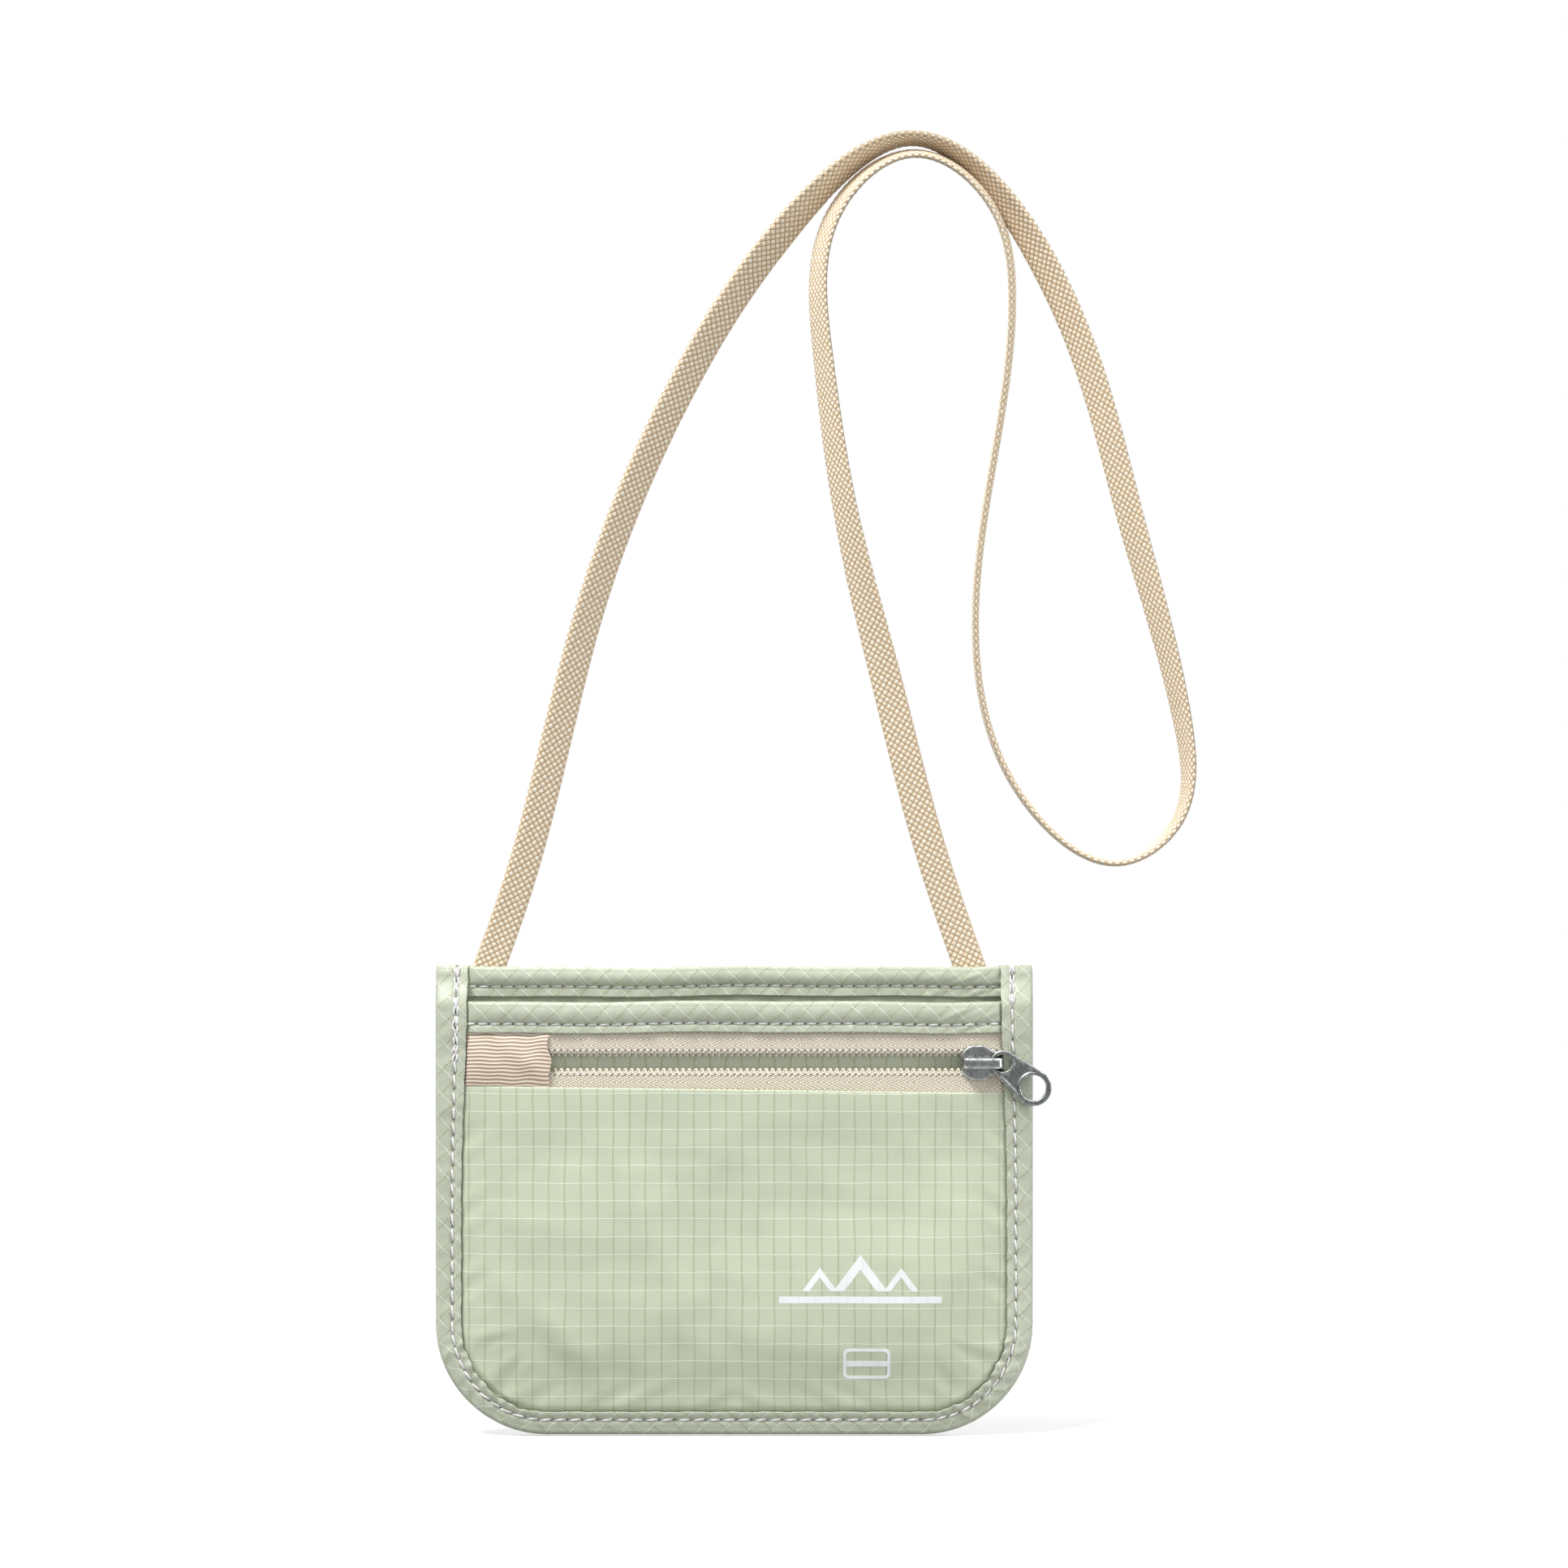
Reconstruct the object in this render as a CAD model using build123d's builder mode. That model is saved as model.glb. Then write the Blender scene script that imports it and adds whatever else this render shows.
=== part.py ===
from build123d import *
import math
import os

# Neck pouch wallet: a flat fabric pouch with a slip pocket, a zip pocket and a braided neck strap.
#
# Row frame, millimetres: +Z runs up towards the strap, +X to the right as the front is seen and
# -Y out of the front. The origin is the centre of the flat back face. Every layer is placed by its
# level, which is its distance in front of that face, so a level L lies at Y = -L.

# ---- Driving dimensions ------------------------------------------------------------------------
pouch_width = 140.0
pouch_height = 110.0
corner_radius = 26.0  # the two bottom corners
binding_width = 6.5  # visible width of the folded edge binding
binding_cloth = 0.30
hem_cloth = 0.25
seam_inset = 4.6  # edge stitching, measured in from the outer edge
cloth_gap = 0.05  # between a folded tape and what it wraps
layer_inset = binding_cloth + cloth_gap  # where the layers stop inside the folded binding
shield_inset = 0.8  # the foil shields are cut smaller all round than the cloth
shield_drop = 0.5

half_width = pouch_width / 2
top_z = pouch_height / 2
bottom_z = -top_z
inner_half_width = half_width - binding_width

rest_inset = 0.4  # the flat rear face stops this far short of the bindings

# Levels, from the back face towards the front: (start, thickness)
edge_binding_level = (0.05, 5.21)
back_panel_level = (0.40, 0.25)
rear_shield_level = (0.70, 0.10)
rear_lining_level = (0.85, 0.15)
divider_level = (2.15, 0.20)
divider_top_level = 4.00
front_lining_level = (4.28, 0.15)
front_shield_level = (4.50, 0.10)
tape_level = (4.25, 0.40)
front_panel_level = (4.68, 0.25)

# Hems along the two pocket mouths
rear_hem_top = top_z - 0.8
rear_hem_bottom = 47.6
rear_hem_seam = 50.0
divider_hem_top = 46.6
divider_hem_bottom = 39.3
divider_hem_seam = 41.3
hem_end_gap = 0.1  # between a hem's end and the edge binding
divider_bend_z = (36.45, 39.0)  # the divider steps forward here to meet the zip

# Zip
zip_z = 32.3
coil_gap = 2.6  # between the two open rows of coil
coil_width = 2.2
coil_height = 1.0
coil_pitch = 1.5
coil_filament = 0.7
coil_overhang = 0.8  # how far the coil stands past its tape's edge
tape_half_gap = coil_gap / 2 + coil_overhang
upper_tape_top = 46.1
lower_tape_bottom = 17.5
tape_half_length = 66.0
coil_half_length = 63.0
front_panel_top = 25.5
lining_top = 17.0
tab_right = -43.5
tab_thickness = 0.25

# Slider, about its own centre
slider_x = 57.4
slider_nose = -4.3
slider_tail = 5.5
slider_half_width = 4.05
slider_tail_half_width = 2.7
slider_base_level = (2.45, 0.65)
slider_plate_level = (4.80, 0.80)
slider_rail_inner = coil_gap / 2 + coil_width + 0.1
bridge_width = 2.5
bridge_cloth = 0.9
bridge_clearance = 2.0
bridge_edge_radius = 0.3

# Pull
pull_thickness = 1.2
pull_eye_hole = 2.0
pull_eye_rim = 1.0
pull_end_hole = 2.95
pull_end_rim = 1.3
pull_length = 9.15  # between the two hole centres
pull_angle = -39.0  # from +X, as it hangs
pull_seat = 0.8  # centre of the pull above the slider's plate
pull_edge_radius = 0.22
pull_rim_width = 0.75
pull_web_sink = 0.25

# Strap
strap_width = 7.6
strap_thickness = 1.7
strap_gap = 0.05  # between the strap's front and the hem it is sewn behind
strap_pivot_z = 56.6
strap_fold_gap = 1.0  # above and below the pivot
strap_end_bottom = 49.0
strap_end_reach = 8.0
bar_tack_low = 50.6
bar_tack_high = 53.0
bar_tack_length = 5.4
bar_tack_width = 1.1

# Thread
thread_width = 0.45
thread_height = 0.18
thread_gap = 0.01  # between thread and cloth
edge_pitch = 3.2
edge_stitch = 2.5
hem_pitch = 2.5
hem_stitch = 1.9
hem_row_reach = 62.0
rear_row_reach = 48.0  # the rear hem's inner row stops short of the sewn strap ends
tack_stitch = 1.5
tack_pitch = 1.05
tack_count = 13
tack_spread = 0.35  # either side of the seam
tack_turn = 72
coil_thread_width = 0.35
coil_thread_height = 0.09
coil_thread_offset = 0.55  # from the tape's edge

# Print
print_height = 0.03
badge_x = 29.5
badge_z = -23.0
card_x = 31.0
card_z = -38.0


# ---- Shared sketches and paths -----------------------------------------------------------------
def pouch_outline(level, inset, top):
    """The pouch's outline drawn in by inset: square at the top, rounded at the bottom."""
    side = half_width - inset
    foot = bottom_z + inset
    radius = max(corner_radius - inset, 1.0)
    with BuildSketch(Plane.XZ.offset(level)) as outline:
        with BuildLine():
            Polyline((side, foot + radius), (side, top), (-side, top), (-side, foot + radius))
            RadiusArc((-side, foot + radius), (-side + radius, foot), -radius)
            Line((-side + radius, foot), (side - radius, foot))
            RadiusArc((side - radius, foot), (side, foot + radius), -radius)
        make_face()
    return outline.sketch


def seam_path():
    """The U-shaped line of edge stitching, in the outline's own two coordinates."""
    side = half_width - seam_inset
    foot = bottom_z + seam_inset
    radius = corner_radius - seam_inset
    start = top_z - 16.0  # the end tacks hold the seam above this
    with BuildLine() as path:
        Line((-side, start), (-side, foot + radius))
        RadiusArc((-side, foot + radius), (-side + radius, foot), -radius)
        Line((-side + radius, foot), (side - radius, foot))
        RadiusArc((side - radius, foot), (side, foot + radius), -radius)
        Line((side, foot + radius), (side, start))
    return path.wires()[0]


def seam_locations(path, pitch):
    """One location per stitch along a path, turned along it."""
    count = int(path.length / pitch)
    places = []
    for index in range(count):
        share = (index + 0.5) / count
        point = path.position_at(share)
        tangent = path.tangent_at(share)
        places.append(Location((point.X, point.Y), math.degrees(math.atan2(tangent.Y, tangent.X))))
    return places


def row_locations(half_length, z, pitch):
    """Stitch locations along a straight level row, centred on X = 0."""
    count = int(2 * half_length / pitch)
    return [Location(((index - (count - 1) / 2) * pitch, z)) for index in range(count)]


def stitches(level, places, length):
    """The outlines of a row of stitches at a level."""
    with BuildSketch(Plane.XZ.offset(level)) as thread:
        with Locations(*places):
            Rectangle(length, thread_width)
    return thread.sketch


def folded_hem(rear_level, front_level, bottom, top):
    """Section of a tape folded over a raw edge: two legs joined across the top."""
    with BuildSketch(Plane.YZ) as section:
        with BuildLine():
            Polyline(
                (-rear_level, bottom),
                (-rear_level, top),
                (-front_level, top),
                (-front_level, bottom),
                (-front_level + hem_cloth, bottom),
                (-front_level + hem_cloth, top - hem_cloth),
                (-rear_level - hem_cloth, top - hem_cloth),
                (-rear_level - hem_cloth, bottom),
                close=True,
            )
        make_face()
    return section.sketch


def level_span(level):
    """The two ends of a layer, as (start, end)."""
    return level[0], level[0] + level[1]


os.makedirs("parts", exist_ok=True)

# ---- Rear wall of the slip pocket --------------------------------------------------------------
back_panel_top = rear_hem_top - hem_cloth - cloth_gap
with BuildPart() as back_panel:
    extrude(pouch_outline(back_panel_level[0], layer_inset, back_panel_top), amount=back_panel_level[1])
    # The middle stands proud between the folded edges and is the flat face that rests on the body.
    extrude(
        pouch_outline(0, binding_width + rest_inset, rear_hem_bottom - rest_inset),
        amount=back_panel_level[0],
    )
    rim = back_panel.faces().sort_by(Axis.Y)[-1].edges()
    fillet(rim, 0.3)
back_panel.part.label = "back_panel"
export_step(back_panel.part, "parts/back_panel.step")

with BuildPart() as rear_shield:
    extrude(
        pouch_outline(rear_shield_level[0], shield_inset, back_panel_top - shield_drop),
        amount=rear_shield_level[1],
    )
rear_shield.part.label = "rear_shield"
export_step(rear_shield.part, "parts/rear_shield.step")

with BuildPart() as rear_lining:
    extrude(
        pouch_outline(rear_lining_level[0], layer_inset, back_panel_top),
        amount=rear_lining_level[1],
    )
rear_lining.part.label = "rear_lining"
export_step(rear_lining.part, "parts/rear_lining.step")

rear_hem_levels = (
    back_panel_level[0] - hem_cloth - cloth_gap,
    level_span(rear_lining_level)[1] + cloth_gap + hem_cloth,
)
with BuildPart() as rear_hem:
    extrude(
        folded_hem(*rear_hem_levels, rear_hem_bottom, rear_hem_top),
        amount=inner_half_width - hem_end_gap,
        both=True,
    )
rear_hem.part.label = "rear_hem_binding"
export_step(rear_hem.part, "parts/rear_hem_binding.step")

with BuildPart() as rear_hem_thread:
    front_row = row_locations(hem_row_reach, rear_hem_seam, hem_pitch)
    rear_row = row_locations(rear_row_reach, rear_hem_seam, hem_pitch)
    extrude(stitches(rear_hem_levels[1] + thread_gap, front_row, hem_stitch), amount=thread_height)
    extrude(stitches(rear_hem_levels[0] - thread_gap, rear_row, hem_stitch), amount=-thread_height)
rear_hem_thread.part.label = "rear_hem_thread"
export_step(rear_hem_thread.part, "parts/rear_hem_thread.step")

# ---- Divider between the two pockets -----------------------------------------------------------
divider_top = divider_hem_top - hem_cloth - cloth_gap
with BuildPart() as divider:
    rear, front = level_span(divider_level)
    top_rear, top_front = divider_top_level, divider_top_level + divider_level[1]
    with BuildSketch(Plane.YZ) as divider_section:
        with BuildLine():
            Polyline(
                (-rear, bottom_z),
                (-rear, divider_bend_z[0]),
                (-top_rear, divider_bend_z[1]),
                (-top_rear, divider_top),
                (-top_front, divider_top),
                (-top_front, divider_bend_z[1]),
                (-front, divider_bend_z[0]),
                (-front, bottom_z),
                close=True,
            )
        make_face()
    extrude(amount=half_width, both=True)
    extrude(pouch_outline(0, layer_inset, top_z), amount=6, mode=Mode.INTERSECT)
divider.part.label = "divider_panel"
export_step(divider.part, "parts/divider_panel.step")

divider_hem_levels = (
    divider_top_level - hem_cloth - cloth_gap,
    level_span(tape_level)[1] + cloth_gap + hem_cloth,
)
with BuildPart() as divider_hem:
    extrude(
        folded_hem(*divider_hem_levels, divider_hem_bottom, divider_hem_top),
        amount=inner_half_width - hem_end_gap,
        both=True,
    )
divider_hem.part.label = "divider_hem_binding"
export_step(divider_hem.part, "parts/divider_hem_binding.step")

with BuildPart() as divider_hem_thread:
    row = row_locations(hem_row_reach, divider_hem_seam, hem_pitch)
    extrude(stitches(divider_hem_levels[1] + thread_gap, row, hem_stitch), amount=thread_height)
    extrude(stitches(divider_hem_levels[0] - thread_gap, row, hem_stitch), amount=-thread_height)
divider_hem_thread.part.label = "divider_hem_thread"
export_step(divider_hem_thread.part, "parts/divider_hem_thread.step")

# ---- Front wall of the zip pocket --------------------------------------------------------------
with BuildPart() as front_lining:
    extrude(pouch_outline(front_lining_level[0], layer_inset, lining_top), amount=front_lining_level[1])
front_lining.part.label = "front_lining"
export_step(front_lining.part, "parts/front_lining.step")

with BuildPart() as front_shield:
    extrude(
        pouch_outline(front_shield_level[0], shield_inset, lining_top - shield_drop),
        amount=front_shield_level[1],
    )
front_shield.part.label = "front_shield"
export_step(front_shield.part, "parts/front_shield.step")

with BuildPart() as front_panel:
    extrude(
        pouch_outline(front_panel_level[0], layer_inset, front_panel_top),
        amount=front_panel_level[1],
    )
front_panel.part.label = "front_panel"
export_step(front_panel.part, "parts/front_panel.step")

# Two plain printed badges: a mountain outline over a bar, and a struck-out card.
print_level = level_span(front_panel_level)[1] + thread_gap
peak_foot = badge_z + 2.0
with BuildPart() as front_print:
    with BuildSketch(Plane.XZ.offset(print_level)):
        with Locations((badge_x, badge_z)):
            Rectangle(38.0, 1.6)
        for peak_x, peak_height in ((badge_x - 9.5, 5.5), (badge_x, 8.5), (badge_x + 9.5, 5.5)):
            with BuildLine():
                Polyline(
                    (peak_x - peak_height * 0.75, peak_foot),
                    (peak_x, peak_foot + peak_height),
                    (peak_x + peak_height * 0.75, peak_foot),
                    (peak_x + peak_height * 0.45, peak_foot),
                    (peak_x, peak_foot + peak_height * 0.6),
                    (peak_x - peak_height * 0.45, peak_foot),
                    close=True,
                )
            make_face()
    extrude(amount=print_height)
    with BuildSketch(Plane.XZ.offset(print_level)):
        with Locations((card_x, card_z)):
            RectangleRounded(11.0, 7.2, 1.2)
            RectangleRounded(9.6, 5.8, 0.8, mode=Mode.SUBTRACT)
            Rectangle(9.8, 1.3)
    extrude(amount=print_height)
front_print.part.label = "front_print"
export_step(front_print.part, "parts/front_print.step")

# ---- Folded binding round the sides and the bottom ---------------------------------------------
with BuildPart() as edge_binding:
    extrude(pouch_outline(edge_binding_level[0], 0, top_z), amount=edge_binding_level[1])
    outer_rims = edge_binding.edges().filter_by(
        lambda edge: edge.center().Z < top_z - 1 and abs(edge.tangent_at(0.5).Y) < 0.1
    )
    fillet(outer_rims, 0.28)
    extrude(
        pouch_outline(edge_binding_level[0] + binding_cloth, binding_cloth, top_z + 5),
        amount=edge_binding_level[1] - 2 * binding_cloth,
        mode=Mode.SUBTRACT,
    )
    extrude(pouch_outline(-1, binding_width, top_z + 5), amount=10, mode=Mode.SUBTRACT)
edge_binding.part.label = "edge_binding"
export_step(edge_binding.part, "parts/edge_binding.step")

edge_front_level = level_span(edge_binding_level)[1]
with BuildPart() as edge_thread:
    edge_places = seam_locations(seam_path(), edge_pitch)
    front_row = stitches(edge_front_level + thread_gap, edge_places, edge_stitch)
    rear_row = stitches(edge_binding_level[0] - thread_gap, edge_places, edge_stitch)
    extrude(front_row, amount=thread_height)
    extrude(rear_row, amount=-thread_height)
edge_thread.part.label = "edge_thread"
export_step(edge_thread.part, "parts/edge_thread.step")

# Dense tacking that locks the top ends of the edge seam.
with BuildPart() as binding_end_tacks:
    tack_places = [
        Location(
            (
                side * (half_width - seam_inset + (tack_spread if index % 2 else -tack_spread)),
                top_z - 1.6 - index * tack_pitch,
            ),
            tack_turn,
        )
        for side in (-1, 1)
        for index in range(tack_count)
    ]
    extrude(stitches(edge_front_level + thread_gap, tack_places, tack_stitch), amount=thread_height)
binding_end_tacks.part.label = "binding_end_tacks"
export_step(binding_end_tacks.part, "parts/binding_end_tacks.step")

# ---- Zip ---------------------------------------------------------------------------------------
for name, low, high in (
    ("upper_zip_tape", zip_z + tape_half_gap, upper_tape_top),
    ("lower_zip_tape", lower_tape_bottom, zip_z - tape_half_gap),
):
    with BuildPart() as zip_tape:
        with BuildSketch(Plane.XZ.offset(tape_level[0])):
            with Locations((0, (low + high) / 2)):
                Rectangle(2 * tape_half_length, high - low)
        extrude(amount=tape_level[1])
    zip_tape.part.label = name
    export_step(zip_tape.part, f"parts/{name}.step")

# Each coil is one nylon filament. Its loops stand past the tape's edge as a row of heads.
coil_back_width = coil_width - coil_overhang
coil_count = int(2 * coil_half_length / coil_pitch)
for name, side in (("upper_zip_coil", 1), ("lower_zip_coil", -1)):
    with BuildPart() as zip_coil:
        head_z = zip_z + side * (coil_gap / 2 + coil_overhang / 2)
        back_z = zip_z + side * (coil_gap / 2 + coil_overhang + coil_back_width / 2)
        with BuildSketch(Plane.XZ.offset(tape_level[0] - cloth_gap - coil_height)):
            with Locations((0, back_z)):
                Rectangle(2 * coil_half_length, coil_back_width)
            with Locations((side * coil_pitch / 4, head_z)):
                with GridLocations(coil_pitch, 1, coil_count, 1):
                    Rectangle(coil_filament, coil_overhang)
        extrude(amount=coil_height)
    zip_coil.part.label = name
    export_step(zip_coil.part, f"parts/{name}.step")

# The row of sewing that holds each coil to its tape.
for name, side in (("upper_coil_thread", 1), ("lower_coil_thread", -1)):
    with BuildPart() as coil_thread:
        with BuildSketch(Plane.XZ.offset(level_span(tape_level)[1] + thread_gap)):
            row_start = tab_right + 0.2
            thread_z = zip_z + side * (tape_half_gap + coil_thread_offset)
            with Locations(((row_start + coil_half_length) / 2, thread_z)):
                Rectangle(coil_half_length - row_start, coil_thread_width)
        extrude(amount=coil_thread_height)
    coil_thread.part.label = name
    export_step(coil_thread.part, f"parts/{name}.step")

# A ribbed ribbon folded over the closed end of the zip.
with BuildPart() as zip_end_tab:
    tab_left = -tape_half_length
    tab_bottom = front_panel_top + 0.3
    tab_top = divider_hem_bottom - 0.2
    with BuildSketch(Plane.XZ.offset(front_panel_level[0])):
        with Locations(((tab_left + tab_right) / 2, (tab_bottom + tab_top) / 2)):
            Rectangle(tab_right - tab_left, tab_top - tab_bottom)
    extrude(amount=tab_thickness)
zip_end_tab.part.label = "zip_end_tab"
export_step(zip_end_tab.part, "parts/zip_end_tab.step")


# ---- Slider ------------------------------------------------------------------------------------
def slider_plate(level):
    """A slider plate: round shoulders at the nose and a narrower tail."""
    with BuildSketch(Plane.XZ.offset(level)) as plate:
        with BuildLine():
            Polyline(
                (slider_x + slider_nose, zip_z - slider_half_width),
                (slider_x + 1.2, zip_z - slider_half_width),
                (slider_x + 3.2, zip_z - slider_tail_half_width),
                (slider_x + slider_tail, zip_z - slider_tail_half_width),
                (slider_x + slider_tail, zip_z + slider_tail_half_width),
                (slider_x + 3.2, zip_z + slider_tail_half_width),
                (slider_x + 1.2, zip_z + slider_half_width),
                (slider_x + slider_nose, zip_z + slider_half_width),
                close=True,
            )
        make_face()
        fillet(plate.vertices().group_by(Axis.X)[0], 3.1)
        fillet(plate.vertices().group_by(Axis.X)[-1], 0.9)
    return plate.sketch


slider_plate_top = level_span(slider_plate_level)[1]
base_top = level_span(slider_base_level)[1]
with BuildPart() as slider_body:
    extrude(slider_plate(slider_base_level[0]), amount=slider_base_level[1])
    extrude(slider_plate(slider_plate_level[0]), amount=slider_plate_level[1])
    fillet(slider_body.faces().sort_by(Axis.Y)[0].edges(), 0.25)
    fillet(slider_body.faces().sort_by(Axis.Y)[-1].edges(), 0.25)
    # The wedge that parts the two rows joins the plates at the nose.
    with BuildSketch(Plane.XZ.offset(base_top)):
        with Locations((slider_x - 2.4, zip_z)):
            Ellipse(1.5, 1.0)
    extrude(amount=slider_plate_level[0] - base_top)
    # Rails on the lower plate keep the coils in their channels.
    with BuildSketch(Plane.XZ.offset(base_top)):
        rail_width = slider_half_width - slider_rail_inner
        for side in (-1, 1):
            with Locations((slider_x + 0.1, zip_z + side * (slider_half_width - rail_width / 2))):
                Rectangle(2.2, rail_width)
    extrude(amount=tape_level[0] - 0.08 - base_top)
slider_body.part.label = "slider_body"
export_step(slider_body.part, "parts/slider_body.step")

bridge_level = slider_plate_top + bridge_clearance
bridge_start = slider_x - 3.85
bridge_end = slider_x + 5.3
with BuildPart() as slider_bridge:
    foot = -slider_plate_top - 0.01
    with BuildSketch(Plane.XY.offset(zip_z - bridge_width / 2)) as bridge_section:
        with BuildLine():
            Polyline(
                (bridge_start, foot),
                (bridge_start, -bridge_level - bridge_cloth),
                (bridge_end, -bridge_level - bridge_cloth),
                (bridge_end, foot),
                (bridge_end - 1.0, foot),
                (bridge_end - 1.0, -bridge_level),
                (bridge_start + 1.0, -bridge_level),
                (bridge_start + 1.0, foot),
                close=True,
            )
        make_face()
        fillet(bridge_section.vertices().group_by(Axis.Y)[0], 1.1)
    extrude(amount=bridge_width)
    fillet(slider_bridge.faces().filter_by(Axis.Z).edges(), bridge_edge_radius)
slider_bridge.part.label = "slider_bridge"
export_step(slider_bridge.part, "parts/slider_bridge.step")

# ---- Pull --------------------------------------------------------------------------------------
pull_level = slider_plate_top + pull_seat - pull_thickness / 2
eye_x = slider_x + 5.4
pull_along = (math.cos(math.radians(pull_angle)), 0, math.sin(math.radians(pull_angle)))
pull_plane = Plane((eye_x, -pull_level, zip_z), x_dir=pull_along, z_dir=(0, -1, 0))
with BuildPart() as zip_pull:
    with BuildSketch(pull_plane):
        Circle(pull_eye_hole + pull_eye_rim)
        with Locations((pull_length, 0)):
            Circle(pull_end_hole + pull_end_rim)
        make_hull()
        Circle(pull_eye_hole, mode=Mode.SUBTRACT)
        with Locations((pull_length, 0)):
            Circle(pull_end_hole, mode=Mode.SUBTRACT)
    extrude(amount=pull_thickness)
    fillet(zip_pull.faces().filter_by(Axis.Y).edges(), pull_edge_radius)
    # The web between the two rims is sunk on both faces.
    for depth in (0, pull_thickness):
        with BuildSketch(pull_plane.offset(depth)):
            Circle(pull_eye_hole + pull_eye_rim - pull_rim_width)
            with Locations((pull_length, 0)):
                Circle(pull_end_hole + pull_end_rim - pull_rim_width)
            make_hull()
            Circle(pull_eye_hole + pull_rim_width, mode=Mode.SUBTRACT)
            with Locations((pull_length, 0)):
                Circle(pull_end_hole + pull_rim_width, mode=Mode.SUBTRACT)
        extrude(amount=pull_web_sink if depth == 0 else -pull_web_sink, mode=Mode.SUBTRACT)
zip_pull.part.label = "zip_pull"
export_step(zip_pull.part, "parts/zip_pull.step")

# ---- Neck strap --------------------------------------------------------------------------------
# Stations along the strap as it lies: (x, z, twist). The twist is how far its face is turned away
# from the front, in degrees, so that 90 is on edge.
strap_stations = (
    (-58.6, 52.0, 0),  # left root
    (-50.9, 73.9, 15),
    (-33.3, 140.7, 30),
    (-11.0, 193.5, 27),
    (10.8, 226.5, 32),
    (42.3, 249.0, 80),  # top of the outer loop
    (71.6, 221.7, 36),
    (93.1, 159.7, 41),
    (105.2, 112.1, 64),
    (103.6, 88.2, 82),
    (91.0, 79.2, 88),  # low turn
    (70.5, 90.5, 88),
    (57.0, 125.0, 88),
    (58.6, 159.7, 88),
    (65.2, 212.0, 84),
    (60.8, 232.5, 80),
    (42.3, 245.4, 77),  # top of the inner loop
    (24.0, 232.5, 65),
    (20.6, 200.0, 59),
    (26.5, 159.7, 46),
    (35.8, 121.6, 15),
    (45.7, 83.4, 8),
    (56.2, 52.0, 0),  # right root
)
strap_back_level = -strap_gap - strap_thickness
sections_per_span = 3

with BuildLine() as strap_line:
    Spline(*[(x, 0, z) for x, z, _ in strap_stations])
strap_path = strap_line.edges()[0]


def strap_section(share, twist):
    """A flat section with round edges, square to the path, lying on the strap's back plane."""
    lean = math.radians(twist)
    point = strap_path.position_at(share)
    along = strap_path.tangent_at(share)
    across = Vector(-along.Z, 0, along.X) * math.cos(lean) + Vector(0, -1, 0) * math.sin(lean)
    flat_part = (strap_width - strap_thickness) / 2 * math.sin(lean)
    level = strap_back_level + strap_thickness / 2 + flat_part
    with BuildSketch(Plane((point.X, -level, point.Z), x_dir=across, z_dir=along)) as section:
        SlotOverall(strap_width, strap_thickness)
    return section.sketch


def strap_sections():
    """Sections through every station, with evenly eased ones between them."""
    shares = [strap_path.param_at_point((x, 0, z)) for x, z, _ in strap_stations]
    twists = [twist for _, _, twist in strap_stations]
    sections = []
    for span in range(len(strap_stations) - 1):
        for step in range(sections_per_span):
            ease = step / sections_per_span
            share = shares[span] * (1 - ease) + shares[span + 1] * ease
            sections.append(strap_section(share, twists[span] * (1 - ease) + twists[span + 1] * ease))
    sections.append(strap_section(1, twists[-1]))
    return sections


# The strap folds just above the pouch, so it is cut level there, a little clear of its sewn ends.
with BuildPart() as neck_strap:
    loft(strap_sections())
    split(bisect_by=Plane.XY.offset(strap_pivot_z + strap_fold_gap), keep=Keep.TOP)
neck_strap.part.label = "neck_strap"
export_step(neck_strap.part, "parts/neck_strap.step")

# The sewn ends lie flat behind the rear hem and lean with the strap.
strap_roots = (strap_path.position_at(0), strap_path.position_at(1))
strap_leans = (strap_path.tangent_at(0), strap_path.tangent_at(1) * -1)
for name, root, rise in zip(("left_strap_end", "right_strap_end"), strap_roots, strap_leans):
    turn = math.degrees(math.atan2(rise.Z, rise.X))
    with BuildPart() as strap_end:
        with BuildSketch(Plane.XZ.offset(strap_back_level)):
            with Locations(Location((root.X, root.Z), turn)):
                Rectangle(2 * strap_end_reach, strap_width)
        extrude(amount=strap_thickness)
        split(bisect_by=Plane.XY.offset(strap_pivot_z - strap_fold_gap), keep=Keep.BOTTOM)
        split(bisect_by=Plane.XY.offset(strap_end_bottom), keep=Keep.TOP)
    strap_end.part.label = name
    export_step(strap_end.part, f"parts/{name}.step")

# Bar tacks: dense rows of thread across each sewn end.
with BuildPart() as strap_bar_tacks:
    for root, rise in zip(strap_roots, strap_leans):
        with BuildSketch(Plane.XZ.offset(strap_back_level - thread_gap)):
            for tack_z in (bar_tack_low, bar_tack_high):
                tack_x = root.X + (tack_z - root.Z) * rise.X / rise.Z
                with Locations((tack_x, tack_z)):
                    Rectangle(bar_tack_length, bar_tack_width)
        extrude(amount=-thread_height)
strap_bar_tacks.part.label = "strap_bar_tacks"
export_step(strap_bar_tacks.part, "parts/strap_bar_tacks.step")
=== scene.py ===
"""Neck pouch wallet: its cloth, zip, thread and strap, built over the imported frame.

Shapes are worked out in millimetres as (x, level, z). A level is a distance in front of the pouch's
back face, so a level L lies at Y = -L in the row frame.
"""

import math

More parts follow.
